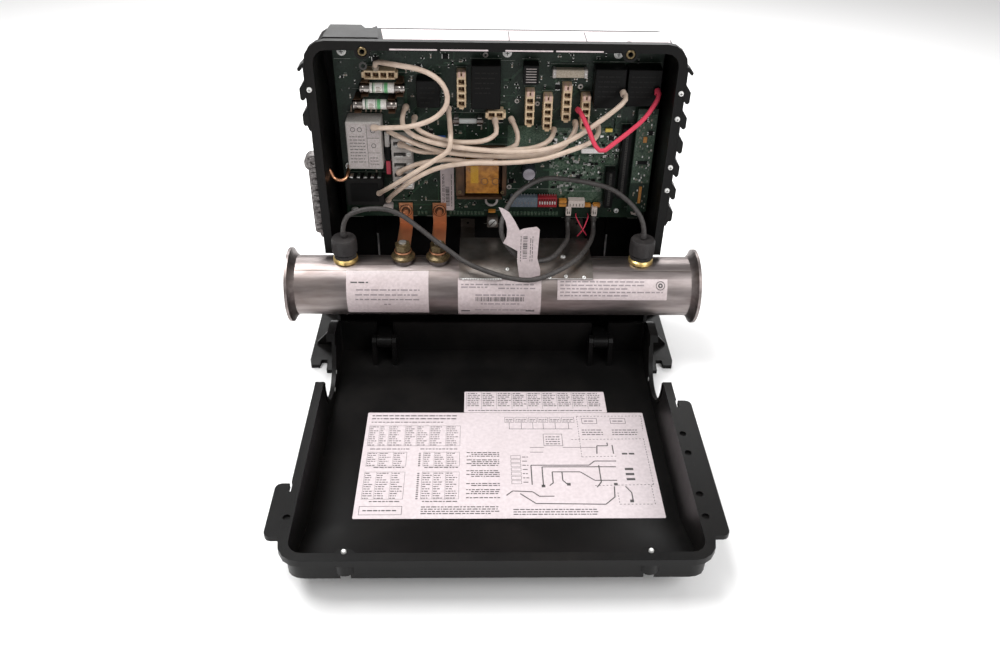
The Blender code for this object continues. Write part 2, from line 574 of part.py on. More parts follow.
def board_parts():
    relays = [((-68.5, -48), (246, 270.5)), ((-21, 4.5), (245, 284)), ((85.5, 112.5), (247, 282)),
              ((114, 143.5), (249, 282))]
    for k, (x, z) in enumerate(relays, 1):
        finish(f'relay_{k}', on_board(x, z, 30), 'relay_black')
    finish('power_relay', on_board((-131.5, -100.5), (190, 235), 24, 0.8), 'relay_white')
    finish('terminal_block', on_board((-93, -74), (167, 217), 30, 0.8), 'beige_plastic')
    core = cut(on_board((-35, 11), (166, 205), 20, 0.6), box((-27, 10, 160), (7, 39, 212)))
    finish('transformer_core', core, 'transformer_steel')
    finish('transformer_coil', box((-25.8, 14, 172), (3.6, 38.7, 200), 1.5), 'yellow_tape')
    can = [(0, 0), (6.2, 0), (6.5, 1), (6.5, 14.5), (6.0, 15.7), (0, 15.7)]
    finish('capacitor', turned((32, SEAT, 183), (0, -1, 0), can, 24), 'capacitor_sleeve', True)
    columns = [((-33.5, -25.5), (245, 276.5)), ((26.5, 34.5), (229, 260)), ((42.5, 50.5), (225, 256)),
               ((59, 67), (233.5, 265.5)), ((76, 84), (226, 256.5))]
    for k, (x, z) in enumerate(columns, 1):
        finish(f'load_socket_{k}', socket(x, z, 1, 4, 5.5), 'cream_nylon')
    finish('mains_socket', socket((-113, -86.2), (269.2, 277.2), 4, 1), 'cream_nylon')
    finish('pump_socket', socket((-6.5, 7.5), (234, 242), 2, 1), 'cream_nylon')
    daughter = join(box((127, 35, 143), (145, 36.6, 245)), box((132, 36, 150), (140, SEAT, 238)))
    finish('daughter_board', daughter, 'board_green')
    for k, (x, z) in enumerate((((-117, -78), 263.4), ((-124, -85.5), 248.6)), 1):
        finish(f'power_fuse_{k}', fuse(x, 31, z, 4.3, 4.8, 9), 'white_ceramic', True)
    finish('glass_fuse', fuse((-37.7, -10.3), 38, 231, 2.3, 2.8, 6), 'glass', True)


def fuse(x, y, z, body, cap, cap_reach):
    """A round fuse lying along X: a body between two wider caps."""
    low, high = x
    profile = [(0, low), (cap, low), (cap, low + cap_reach), (body, low + cap_reach),
               (body, high - cap_reach), (cap, high - cap_reach), (cap, high), (0, high)]
    return turned((0, y, z), (1, 0, 0), profile, 18)


def dip_switch():
    body = on_board((42, 60), (145.5, 155.5), 38, 0.3)
    first = 51 - LEVER_PITCH * (LEVER_COUNT - 1) / 2
    centres = [first + LEVER_PITCH * k for k in range(LEVER_COUNT)]
    slots = [box((x - 0.8, 37, 148.5), (x + 0.8, 40, 154.5)) for x in centres]
    finish('dip_switch_body', cut(body, *slots), 'switch_red')
    for k, x in enumerate(centres, 1):
        lever = box((x - 0.5, 37.2, 148.8), (x + 0.5, 39.7, 151.2))
        finish(f'dip_lever_{k}', lever, 'switch_white', pivot=(x, 38.45, 150))


# ---------------------------------------------------------------- heater
def heater_tube():
    half = [(FLARE_R, -TUBE_HALF), (FLARE_R, -TUBE_HALF + 2.5), (31, -TUBE_HALF + 4.5),
            (TUBE_R, -TUBE_HALF + 8)]
    profile = [(0, -TUBE_HALF)] + half + [(r, -d) for r, d in reversed(half)] + [(0, TUBE_HALF)]
    tube = turned((0, TUBE_Y, TUBE_Z), (1, 0, 0), profile, 40)
    bosses = [rod((x, TUBE_Y, 100), (x, TUBE_Y, 116), 9.5, 20) for x in SENSORS]
    bosses += [rod((x, TUBE_Y, 100), (x, TUBE_Y, 116), 9, 20) for x in TERMINALS]
    tube = join(tube, *bosses)
    tube = cut(tube, rod((-TUBE_HALF - 1, TUBE_Y, TUBE_Z), (TUBE_HALF + 1, TUBE_Y, TUBE_Z), TUBE_BORE, 40))
    bores = [rod((x, TUBE_Y, 95), (x, TUBE_Y, 120), 6.3, 20) for x in SENSORS]
    bores += [rod((x, TUBE_Y, 95), (x, TUBE_Y, 120), 5, 20) for x in TERMINALS]
    finish('heater_tube', cut(tube, *bores), 'heater_steel', True)


def heater_fittings():
    cord('heater_element', ELEMENT, ROD_R * 2, 'steel')
    inner = ROD_R + 0.9
    for side, x in zip(('left', 'right'), TERMINALS):
        collar = [(inner, GAP), (10.5, GAP), (11, 1), (11, 3), (8.5, 4.5), (8.5, 6.7), (inner, 6.7)]
        finish(f'terminal_insulator_{side}', turned((x, TUBE_Y, 116), (0, 0, 1), collar, 20, True),
               'insulator', True)
        nut = hollow((x, TUBE_Y, 124.8), (x, TUBE_Y, 131), 7.6, inner, 6)
        finish(f'terminal_nut_{side}', nut, 'brass')
        finish(f'copper_strap_{side}', strap(x), 'copper')
    for side, x in zip(('left', 'right'), SENSORS):
        profile = [(0, -36), (2.5, -36), (2.5, -17), (6, -16), (6, 0.3), (10.2, 0.3), (10.2, 5), (9.5, 5.2),
                   (9.5, 6.5), (11.6, 6.7), (11.6, 19), (10.6, 21.2), (0, 21.2)]
        finish(f'sensor_{side}', turned((x, TUBE_Y, 116), (0, 0, 1), profile, 16), 'black_nylon')


def strap(x):
    """A copper ribbon from a heater stud back and up to the board."""
    half = 6.5
    ribbon = prism([(TUBE_Y, 123.0), (45.5, 123.0), (45.5, 146), (44.1, 146), (44.1, 124.5),
                    (TUBE_Y, 124.5)], 'x', x - half, x + half)
    pad = rod((x, TUBE_Y, 123.0), (x, TUBE_Y, 124.5), half + 1.5, 20)
    ribbon = join(ribbon, pad)
    return cut(ribbon, rod((x, TUBE_Y, 120), (x, TUBE_Y, 130), ROD_R + 0.4, 16),
               rod((x, 40, 138), (x, 50, 138), 2.2, 12))


def tube_bracket():
    """A sheet saddle over the tube, with two tongues back to the tray's rear wall."""
    thick = 1.2
    inner = TUBE_R + 0.5
    angles = [math.radians(136 - 46 * k / 8) for k in range(9)]
    outer = inner + thick
    under = [(TUBE_Y + inner * math.cos(a), TUBE_Z + inner * math.sin(a)) for a in angles]
    over = [(TUBE_Y + outer * math.cos(a), TUBE_Z + outer * math.sin(a)) for a in angles]
    top = TUBE_Z + inner
    back = BASE_DEEP - WALL - GAP
    under += [(31, top), (41, 104), (back, 104), (back, 114)]
    over += [(31.5, top + thick), (41.5, 104 + thick), (back - thick, 104 + thick), (back - thick, 114)]
    sheet = prism(under + over[::-1], 'x', -32, 91)
    holes = [rod((x, back - 4, 109), (x, back + 2, 109), 1.3, 10) for x in (-25, 85)]
    sheet = cut(sheet, box((-18, 44, 100), (78, back + 2, 118)), *holes)
    finish('tube_bracket', sheet, 'bracket_steel')


# ---------------------------------------------------------------- the whole pack
def build():
    for old in list(bpy.data.objects):
        bpy.data.objects.remove(old)
    base_shell()
    mount_foot(1, 'mount_foot_right')
    mount_foot(-1, 'mount_foot_left')
    cord_clamp('cord_clamp_right', 1, 6)
    cord_clamp('cord_clamp_left', -1, 2)
    lid_shell()
    lid_screws()
    bonding_bar()
    circuit_board()
    board_parts()
    dip_switch()
    heater_tube()
    heater_fittings()
    tube_bracket()
    for name, points in JUMPERS.items():
        cord(name, points, 4.4, 'cream_wire')
    cord('red_jumper', RED_JUMPER, 4.0, 'red_wire')
    cord('sensor_cable_left', CABLE_LEFT, 4.5, 'grey_cable')
    cord('sensor_cable_right', CABLE_RIGHT, 4.5, 'grey_cable')


build()
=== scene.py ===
"""Visual model of the spa control pack: finishes, fittings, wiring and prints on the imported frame.

Lengths are in millimetres from the parting plane, as in the CAD source; placed() turns them into
metres. +X runs along the heater tube, +Y to the back wall, +Z up.
"""
import math
import random

import bmesh
import bpy
from mathutils import Matrix, Vector


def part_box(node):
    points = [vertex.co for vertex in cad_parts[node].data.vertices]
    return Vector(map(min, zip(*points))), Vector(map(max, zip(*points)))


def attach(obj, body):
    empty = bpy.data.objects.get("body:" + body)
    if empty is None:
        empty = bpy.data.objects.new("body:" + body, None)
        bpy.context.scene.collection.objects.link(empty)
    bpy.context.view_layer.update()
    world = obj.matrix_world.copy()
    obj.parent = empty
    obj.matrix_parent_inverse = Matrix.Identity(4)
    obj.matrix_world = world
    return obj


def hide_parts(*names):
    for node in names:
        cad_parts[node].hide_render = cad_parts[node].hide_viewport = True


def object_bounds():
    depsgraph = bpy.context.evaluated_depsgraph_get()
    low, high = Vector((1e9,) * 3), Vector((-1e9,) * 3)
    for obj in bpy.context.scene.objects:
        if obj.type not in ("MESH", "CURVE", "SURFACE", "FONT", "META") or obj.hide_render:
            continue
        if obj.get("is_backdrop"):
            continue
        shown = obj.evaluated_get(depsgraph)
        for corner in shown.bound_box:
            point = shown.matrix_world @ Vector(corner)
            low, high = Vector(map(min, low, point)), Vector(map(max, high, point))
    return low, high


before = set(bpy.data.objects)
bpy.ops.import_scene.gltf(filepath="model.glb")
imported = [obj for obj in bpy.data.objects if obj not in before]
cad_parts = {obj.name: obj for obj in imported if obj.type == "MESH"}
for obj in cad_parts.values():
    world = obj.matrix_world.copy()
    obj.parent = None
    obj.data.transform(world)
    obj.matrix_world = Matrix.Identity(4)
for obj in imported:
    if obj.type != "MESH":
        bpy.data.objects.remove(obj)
CAD_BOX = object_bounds()

MM = 0.001
FRONT_Y = 113.75     # from the middle of the footprint to the parting plane, where y = 0 below
BOARD_Y = 46.0       # component side of the board
SEAT = 45.7          # back of whatever stands on the board
TUBE_Y = -6.5
TUBE_Z = 86.0
TUBE_R = 28.0
TERMINALS = (-83.7, -51.6)
SENSORS = (-137.0, 137.0)
LUG_Z = 138.0        # screws that hold the copper straps to the board
FUSE_Y = 31.0        # axes of the power fuses
GLASS_FUSE = (38.0, 231.0)
GLASS_FUSE_ENDS = (-37.7, -10.3)
RELAY_FACE = 29.7
POWER_RELAY_FACE = 24.0
TERMINALS_FROM = 171.5
TERMINAL_PITCH = 10.2
CONTACT_PITCH = 2.54
SIDE_WALL = 154.0    # middle of the side lips, where the clamp screws stand
LID_SCREW = (108.5, 304.5)
LABEL_INK = (44.82, 45.0)   # front and back of the print on the barcode label
FLAG_INK = (-31.98, -31.8)
HIDDEN_SCREW = (-6, 241.5)
BOARD_SCREWS = ((-132, 137), HIDDEN_SCREW, (138, 137), (-132, 290), (10, 290), (106, 290))
POST_FROM = 47.7     # just behind the board
BACK_WALL = 74.0     # a little inside the tray's back wall
SLOPE_Z = 233.0      # height from which that wall slopes forward
SLOPE_RATE = 0.3545
LEVER_COUNT = 7
SWITCH_PITCH = 3.0   # between the marks of the slate switch block
LEVER_PITCH = 2.4    # between the levers of the red one
LID_FLOOR = 3.0      # inside of the lid's flat floor
TOP_WALL = 308.5     # outside of the tray's top wall
OUT = (0, -1, 0)     # out of the board, towards the lid
BACK = (0, 1, 0)
UP = (0, 0, 1)
NODE_CREASE = math.radians(33)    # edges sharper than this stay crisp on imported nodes
PIECE_CREASE = math.radians(34)   # and on the pieces made here
RANDOM = random.Random(7)


def placed(point):
    """A point of the pack, in metres from the middle of its footprint."""
    return (Vector(point) + Vector((0, FRONT_Y, 0))) * MM


# ---------------------------------------------------------------- camera and light
CAMERA_LENS = 31.28
CAMERA_ANGLES = (36.19, 1.28, 1.89)     # down, clockwise and to the right, in degrees
CAMERA_PLACE = (-15.5, -698.75, 536.4)


def camera():
    """The viewer's place: beyond the near edge of the open lid, looking down at the board."""
    lens = bpy.data.cameras.new('camera')
    lens.sensor_width = 36.0
    lens.lens = CAMERA_LENS
    pitch, roll, yaw = (math.radians(angle) for angle in CAMERA_ANGLES)
    ahead = Vector((math.sin(yaw) * math.cos(pitch), math.cos(yaw) * math.cos(pitch), -math.sin(pitch)))
    level = Vector((math.cos(yaw), -math.sin(yaw), 0))
    above = level.cross(ahead)
    right = level * math.cos(roll) + above * math.sin(roll)
    up = above * math.cos(roll) - level * math.sin(roll)
    made = bpy.data.objects.new('camera', lens)
    turn = Matrix((right, up, -ahead)).transposed().to_4x4()
    made.matrix_world = Matrix.Translation(placed(CAMERA_PLACE)) @ turn
    bpy.context.scene.collection.objects.link(made)
    bpy.context.scene.camera = made


def softbox(name, place, target, size, watts):
    light = bpy.data.lights.new(name, 'AREA')
    light.shape = 'RECTANGLE'
    light.size, light.size_y = size
    light.energy = watts
    made = bpy.data.objects.new(name, light)
    made.location = place
    made.rotation_euler = (Vector(target) - Vector(place)).to_track_quat('-Z', 'Y').to_euler()
    bpy.context.scene.collection.objects.link(made)


def studio():
    world = bpy.data.worlds.new('studio')
    world.use_nodes = True
    sky = world.node_tree.nodes['Background']
    sky.inputs['Color'].default_value = (1.0, 0.985, 0.98, 1)
    sky.inputs['Strength'].default_value = 0.4
    bpy.context.scene.world = world
    bpy.context.scene.view_settings.view_transform = 'Standard'
    middle = (0, 0.05, 0.1)
    softbox('key', (-0.55, 0.1, 1.5), middle, (1.1, 0.8), 32)
    softbox('fill', (0.9, -0.9, 1.1), middle, (0.9, 0.9), 15)
    softbox('back', (0.1, 1.1, 0.8), middle, (1.4, 0.35), 9)
    bm = bmesh.new()
    bmesh.ops.create_grid(bm, x_segments=2, y_segments=2, size=6)
    mesh = bpy.data.meshes.new('floor')
    bm.to_mesh(mesh)
    bm.free()
    mesh.materials.append(surface('floor_white', (0.93, 0.93, 0.93), (0.95, 0.95, 0.95), (0.85, 0.9)))
    floor = bpy.data.objects.new('floor', mesh)
    floor.location = (0, 0, -0.0004)
    bpy.context.scene.collection.objects.link(floor)
    floor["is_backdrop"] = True


# ---------------------------------------------------------------- finishes
def surface(name, dark, light, rough, metal=0.0, grain=1500.0, stretch=(1, 1, 1), bump=0.1,
            blotch=None, amount=0.3, patch=22.0, coat=0.0, gleam=0.5):
    """A finish with fine grain, uneven gloss and blotches of a second colour."""
    made = bpy.data.materials.new(name)
    made.use_nodes = True
    nodes, links = made.node_tree.nodes, made.node_tree.links
    shader = nodes['Principled BSDF']
    shader.inputs['Metallic'].default_value = metal
    shader.inputs['Coat Weight'].default_value = coat
    shader.inputs['Specular IOR Level'].default_value = gleam
    place = add_node(nodes, 'TexCoord')
    stretched = add_node(nodes, 'Mapping', Scale=stretch)
    links.new(place.outputs['Object'], stretched.inputs['Vector'])
    fine = add_node(nodes, 'TexNoise', Scale=grain, Detail=4.0)
    links.new(stretched.outputs['Vector'], fine.inputs['Vector'])
    colour = ramp(nodes, links, fine.outputs['Fac'], 0.35, 0.65, dark, light)
    broad = add_node(nodes, 'TexNoise', Scale=patch, Detail=6.0, Roughness=0.65)
    links.new(place.outputs['Object'], broad.inputs['Vector'])
    if blotch:
        where = ramp(nodes, links, broad.outputs['Fac'], 0.46, 0.72, (0, 0, 0), (amount,) * 3)
        mixed = add_node(nodes, 'MixRGB', Color2=(*blotch, 1))
        links.new(where, mixed.inputs['Fac'])
        links.new(colour, mixed.inputs['Color1'])
        colour = mixed.outputs['Color']
    links.new(colour, shader.inputs['Base Color'])
    gloss = add_node(nodes, 'MapRange', From_Min=0.3, From_Max=0.7, To_Min=rough[0], To_Max=rough[1])
    links.new(broad.outputs['Fac'], gloss.inputs['Value'])
    links.new(gloss.outputs['Result'], shader.inputs['Roughness'])
    relief = add_node(nodes, 'Bump', Strength=bump, Distance=0.0002)
    links.new(fine.outputs['Fac'], relief.inputs['Height'])
    links.new(relief.outputs['Normal'], shader.inputs['Normal'])
    return made


def add_node(nodes, kind, **values):
    """A shader node with some inputs set; an underscore in a name stands for a space."""
    made = nodes.new(f'ShaderNode{kind}')
    for name, value in values.items():
        made.inputs[name.replace('_', ' ')].default_value = value
    return made


def ramp(nodes, links, value, low, high, dark, light):
    """Colours from dark to light as a value goes from low to high."""
    made = nodes.new('ShaderNodeValToRGB')
    first, last = made.color_ramp.elements
    first.position = low
    first.color = (*dark, 1)
    last.position = high
    last.color = (*light, 1)
    links.new(value, made.inputs['Fac'])
    return made.outputs['Color']


DUST = (0.075, 0.06, 0.05)
RUST = (0.12, 0.055, 0.025)
def tones(dark, light, rough, **more):
    """A finish by its two colours, its range of roughness and what else sets it apart."""
    return dict(dark=dark, light=light, rough=rough, **more)


LOOKS = {
    'shell': tones((0.0022, 0.0022, 0.0023), (0.0055, 0.0052, 0.005), (0.3, 0.46), grain=2600, bump=0.18,
        blotch=DUST, amount=0.05, patch=14, gleam=0.13),
    'clamp': tones((0.0025, 0.0025, 0.0025), (0.006, 0.0058, 0.0056), (0.32, 0.45), grain=2600, blotch=DUST,
        amount=0.06, gleam=0.14),
    'relay': tones((0.0022, 0.0022, 0.0022), (0.005, 0.005, 0.005), (0.3, 0.45), grain=3200, blotch=DUST,
        amount=0.02, gleam=0.1),
    'dark_block': tones((0.005, 0.005, 0.0048), (0.01, 0.0095, 0.009), (0.4, 0.55), blotch=DUST,
        amount=0.05, gleam=0.15),
    'board': tones((0.0035, 0.011, 0.006), (0.009, 0.025, 0.014), (0.3, 0.48), grain=700, bump=0.08,
        blotch=(0.03, 0.045, 0.03), amount=0.3, patch=45, gleam=0.25),
    'board_busy': tones((0.012, 0.036, 0.02), (0.085, 0.125, 0.085), (0.35, 0.5), grain=1100, bump=0.5,
        blotch=(0.008, 0.02, 0.012), amount=0.8, patch=160, gleam=0.3),
    'track': tones((0.014, 0.036, 0.02), (0.026, 0.058, 0.034), (0.3, 0.4), grain=900, gleam=0.25),
    'silk': tones((0.11, 0.13, 0.11), (0.2, 0.22, 0.19), (0.6, 0.7)),
    'tin': tones((0.42, 0.41, 0.4), (0.68, 0.67, 0.65), (0.22, 0.42), metal=1.0, grain=900),
    'zinc': tones((0.5, 0.49, 0.47), (0.78, 0.77, 0.74), (0.22, 0.38), metal=1.0, grain=700,
        blotch=(0.25, 0.21, 0.17), amount=0.4, patch=90),
    'steel': tones((0.4, 0.38, 0.37), (0.62, 0.6, 0.58), (0.25, 0.4), metal=1.0, grain=500),
    'tube_steel': tones((0.19, 0.162, 0.158), (0.3, 0.265, 0.258), (0.36, 0.5), metal=1.0, grain=25,
        stretch=(1, 6, 6), bump=0.04, blotch=(0.2, 0.14, 0.1), amount=0.3, patch=16),
    'bracket': tones((0.1, 0.088, 0.078), (0.21, 0.19, 0.175), (0.28, 0.5), metal=0.9, grain=45, bump=0.12,
        blotch=RUST, amount=0.3, patch=30),
    'brass': tones((0.2, 0.15, 0.085), (0.38, 0.3, 0.18), (0.28, 0.45), metal=1.0, grain=600,
        blotch=(0.1, 0.07, 0.045), amount=0.5, patch=80),
    'copper': tones((0.085, 0.03, 0.018), (0.25, 0.1, 0.062), (0.25, 0.42), metal=1.0, grain=300,
        blotch=(0.05, 0.022, 0.014), amount=0.8, patch=50),
    'bronze': tones((0.085, 0.06, 0.028), (0.19, 0.14, 0.07), (0.28, 0.42), metal=0.7, grain=900,
        blotch=(0.04, 0.03, 0.018), amount=0.5, patch=90),
    'cast': tones((0.1, 0.092, 0.09), (0.3, 0.28, 0.275), (0.4, 0.6), metal=0.8, grain=500, bump=0.8,
        blotch=(0.06, 0.05, 0.046), amount=0.6, patch=90),
    'nylon': tones((0.53, 0.39, 0.24), (0.66, 0.51, 0.34), (0.38, 0.5), grain=900, blotch=(0.45, 0.3, 0.18),
        amount=0.3, patch=60),
    'pink_tab': tones((0.5, 0.33, 0.27), (0.6, 0.42, 0.35), (0.4, 0.5)),
    'signal_red': tones((0.5, 0.03, 0.06), (0.62, 0.06, 0.1), (0.4, 0.5)),
    # Dark brown painted shade for the insides of the socket cells and latch windows.
    'painted_cavity_shade': tones((0.05, 0.02, 0.009), (0.11, 0.05, 0.024), (0.6, 0.7), gleam=0.2),
    'wire': tones((0.5, 0.385, 0.3), (0.59, 0.47, 0.385), (0.35, 0.48), grain=150, bump=0.05,
        blotch=(0.38, 0.28, 0.22), amount=0.25, patch=30),
    'sleeve': tones((0.2, 0.165, 0.125), (0.3, 0.25, 0.2), (0.5, 0.6)),
    'red_wire': tones((0.1, 0.002, 0.018), (0.155, 0.005, 0.032), (0.3, 0.42), grain=200, bump=0.05,
        blotch=(0.07, 0.002, 0.012), amount=0.3, patch=40),
    'cable': tones((0.03, 0.027, 0.026), (0.052, 0.047, 0.045), (0.42, 0.58), grain=420, bump=0.1,
        blotch=(0.09, 0.08, 0.072), amount=0.2, patch=40, gleam=0.35),
    'nut_nylon': tones((0.016, 0.0145, 0.0145), (0.03, 0.027, 0.027), (0.5, 0.65), grain=1300, bump=0.3,
        blotch=(0.07, 0.06, 0.055), amount=0.25, patch=60, gleam=0.3),
    'ceramic': tones((0.6, 0.57, 0.54), (0.74, 0.71, 0.68), (0.25, 0.35), grain=800,
        blotch=(0.4, 0.35, 0.3), amount=0.3, patch=90, coat=0.3),
    'beige': tones((0.3, 0.25, 0.19), (0.44, 0.38, 0.3), (0.45, 0.6), grain=900, blotch=(0.2, 0.16, 0.12),
        amount=0.4, patch=70),
    'grey_white': tones((0.33, 0.31, 0.29), (0.46, 0.43, 0.41), (0.42, 0.55), grain=900,
        blotch=(0.2, 0.18, 0.16), amount=0.35, patch=60),
    'label_grey': tones((0.3, 0.265, 0.255), (0.4, 0.355, 0.345), (0.38, 0.5), grain=700,
        blotch=(0.22, 0.19, 0.17), amount=0.3, patch=50),
    'faded_ink': tones((0.22, 0.185, 0.195), (0.3, 0.26, 0.27), (0.5, 0.6)),
    'plug_white': tones((0.5, 0.42, 0.38), (0.62, 0.54, 0.5), (0.35, 0.48), grain=900),
    'glass': tones((0.03, 0.035, 0.032), (0.06, 0.065, 0.06), (0.05, 0.1), coat=0.6),
    'clip_white': tones((0.3, 0.27, 0.25), (0.42, 0.38, 0.36), (0.15, 0.3), coat=0.3),
    'fuse_cap': tones((0.2, 0.18, 0.17), (0.36, 0.33, 0.31), (0.12, 0.22), metal=1.0, grain=500,
        blotch=(0.12, 0.08, 0.05), amount=0.4, patch=90),
    'green_dark': tones((0.01, 0.07, 0.03), (0.02, 0.11, 0.05), (0.3, 0.4)),
    'green_light': tones((0.08, 0.3, 0.12), (0.14, 0.4, 0.18), (0.3, 0.4)),
    'laminate': tones((0.028, 0.014, 0.007), (0.09, 0.045, 0.022), (0.35, 0.55), metal=0.2, grain=60,
        stretch=(1, 40, 1), bump=0.4, blotch=(0.02, 0.011, 0.006), amount=0.5, gleam=0.3),
    'tape': tones((0.19, 0.07, 0.01), (0.34, 0.145, 0.022), (0.15, 0.3), grain=300,
        blotch=(0.13, 0.05, 0.01), amount=0.6, patch=50, coat=0.4),
    'amber': tones((0.3, 0.15, 0.014), (0.42, 0.24, 0.03), (0.12, 0.25), coat=0.4),
    'sleeve_blue': tones((0.012, 0.014, 0.02), (0.025, 0.028, 0.036), (0.2, 0.3)),
    'can_top': tones((0.36, 0.34, 0.38), (0.5, 0.47, 0.52), (0.3, 0.4), metal=0.6),
    'slate': tones((0.07, 0.09, 0.115), (0.12, 0.145, 0.17), (0.35, 0.45), grain=900),
    'dip_red': tones((0.2, 0.006, 0.012), (0.3, 0.014, 0.022), (0.3, 0.4), grain=900),
    'white': tones((0.62, 0.59, 0.57), (0.74, 0.71, 0.69), (0.35, 0.48), grain=900,
        blotch=(0.45, 0.4, 0.36), amount=0.3, patch=60),
    'orange': tones((0.36, 0.13, 0.015), (0.5, 0.22, 0.035), (0.35, 0.45)),
    'yellow': tones((0.55, 0.42, 0.06), (0.72, 0.56, 0.1), (0.35, 0.45)),
    'blue': tones((0.03, 0.08, 0.3), (0.05, 0.13, 0.42), (0.35, 0.45)),
    'paper': tones((0.54, 0.475, 0.49), (0.61, 0.54, 0.555), (0.5, 0.62), grain=320, bump=0.06,
        blotch=(0.42, 0.36, 0.36), amount=0.3, patch=16),
    'label_satin': tones((0.5, 0.425, 0.43), (0.58, 0.5, 0.505), (0.35, 0.48), grain=400,
        blotch=(0.36, 0.29, 0.28), amount=0.35, patch=35),
    'ink': tones((0.045, 0.042, 0.042), (0.09, 0.083, 0.083), (0.5, 0.6)),
    # Near-black painted shade, laid as thin plates, slits and rings where slots, recesses and holes hold
    # shadow.
    'painted_hollow_shade': tones((0.012, 0.011, 0.01), (0.03, 0.027, 0.024), (0.6, 0.7)),
}


def look(name):
    """The finish of this name, made the first time it is asked for."""
    return bpy.data.materials.get(name) or surface(name, **LOOKS[name])


# ---------------------------------------------------------------- shapes
def box(low, high, bevel=0.0, segments=2):
    """A block between two corners, with rounded edges."""
    bm = bmesh.new()
    bmesh.ops.create_cube(bm, size=1.0)
    bmesh.ops.scale(bm, vec=[high[i] - low[i] for i in range(3)], verts=bm.verts)
    bmesh.ops.translate(bm, vec=[(high[i] + low[i]) / 2 for i in range(3)], verts=bm.verts)
    if bevel:
        bmesh.ops.bevel(bm, geom=bm.edges[:], offset=bevel, segments=segments, affect='EDGES')
    return bm


def slab(x, z, y, bevel=0.0, segments=2):
    """A block by its spans across the board, up the board and from front to back."""
    return box((x[0], y[0], z[0]), (x[1], y[1], z[1]), bevel, segments)


def prism(outline, normal, low, high, bevel=0.0):
    """An outline in the plane across the normal, extruded from low to high."""
    place = {
        'x': lambda a, b, c: (c, a, b),
        'y': lambda a, b, c: (a, c, b),
        'z': lambda a, b, c: (a, b, c),
    }[normal]
    bm = bmesh.new()
    face = bm.faces.new([bm.verts.new(place(a, b, low)) for a, b in outline])
    grown = bmesh.ops.extrude_face_region(bm, geom=[face])
    moved = [item for item in grown['geom'] if isinstance(item, bmesh.types.BMVert)]
    bmesh.ops.translate(bm, vec=place(0, 0, high - low), verts=moved)
    bmesh.ops.recalc_face_normals(bm, faces=bm.faces)
    if bevel:
        bmesh.ops.bevel(bm, geom=bm.edges[:], offset=bevel, segments=2, affect='EDGES')
    return bm


def rounded(low_a, high_a, low_b, high_b, radius):
    """A rectangle with rounded corners."""
    steps = 5
    centres = ((low_a + radius, low_b + radius, 180), (high_a - radius, low_b + radius, 270),
               (high_a - radius, high_b - radius, 0), (low_a + radius, high_b - radius, 90))
    points = []
    for a, b, start in centres:
        for k in range(steps + 1):
            turn = math.radians(start + 90 * k / steps)
            points.append((a + radius * math.cos(turn), b + radius * math.sin(turn)))
    return points


def add_loop(bm, centre, side, other, radius, sides):
    """Vertices evenly round a centre, in the plane of two directions."""
    angles = [2 * math.pi * k / sides for k in range(sides)]
    return [bm.verts.new(centre + (side * math.cos(a) + other * math.sin(a)) * radius) for a in angles]


def turned(start, axis, profile, sides=24, ring=False):
    """A profile of (radius, distance) turned about an axis; a ring's profile is a closed loop."""
    axis = Vector(axis).normalized()
    side = axis.orthogonal().normalized()
    other = axis.cross(side)
    bm = bmesh.new()
    loops = []
    for radius, reach in profile:
        centre = Vector(start) + axis * reach
        if radius < 1e-6:
            loops.append([bm.verts.new(centre)] * sides)
            continue
        loops.append(add_loop(bm, centre, side, other, radius, sides))
    pairs = list(zip(loops, loops[1:]))
    if ring:
        pairs.append((loops[-1], loops[0]))
    for first, second in pairs:
        for k in range(sides):
            n = (k + 1) % sides
            bm.faces.new(list(dict.fromkeys([first[k], first[n], second[n], second[k]])))
    bmesh.ops.recalc_face_normals(bm, faces=bm.faces)
    return bm


def washer(place, axis, outer, inner, thick, sides=24):
    edge = thick * 0.25
    profile = [(inner, 0), (outer - edge, 0), (outer, edge), (outer, thick - edge),
               (outer - edge, thick), (inner, thick)]
    return turned(place, axis, profile, sides, True)


def swept(points, radius, sides=8):
    """A solid round bar along a line of points."""
    points = [Vector(p) for p in points]
    bm = bmesh.new()
    loops = []
    side = (points[1] - points[0]).orthogonal().normalized()
    for k, point in enumerate(points):
        ahead = (points[min(k + 1, len(points) - 1)] - points[max(k - 1, 0)]).normalized()
        side = (side - ahead * side.dot(ahead)).normalized()
        loops.append(add_loop(bm, point, side, ahead.cross(side), radius, sides))
    for first, second in zip(loops, loops[1:]):
        for n in range(sides):
            bm.faces.new([first[n], first[(n + 1) % sides], second[(n + 1) % sides], second[n]])
    bm.faces.new(loops[0][::-1])
    bm.faces.new(loops[-1])
    bmesh.ops.recalc_face_normals(bm, faces=bm.faces)
    return bm


def tube_patch(x, turn, low, high, steps=14):
    """A closed sheet wrapped on the heater tube; turn is in degrees up from straight ahead."""
    outline = []
    for radius, order in ((low, range(steps + 1)), (high, range(steps, -1, -1))):
        for k in order:
            angle = math.radians(turn[0] + (turn[1] - turn[0]) * k / steps)
            outline.append((TUBE_Y - (TUBE_R + radius) * math.cos(angle),
                            TUBE_Z + (TUBE_R + radius) * math.sin(angle)))
    return prism(outline, 'x', *x)


def off_tube(turn):
    """The way out of the heater tube at an angle up from straight ahead."""
    return Vector((0, -math.cos(math.radians(turn)), math.sin(math.radians(turn))))


def aimed(shape, place, axis):
    """A shape made along +Z, turned along an axis and moved to its place."""
    turn = Vector(UP).rotation_difference(Vector(axis)).to_matrix()
    bmesh.ops.rotate(shape, cent=(0, 0, 0), matrix=turn, verts=shape.verts)
    bmesh.ops.translate(shape, vec=place, verts=shape.verts)
    return shape


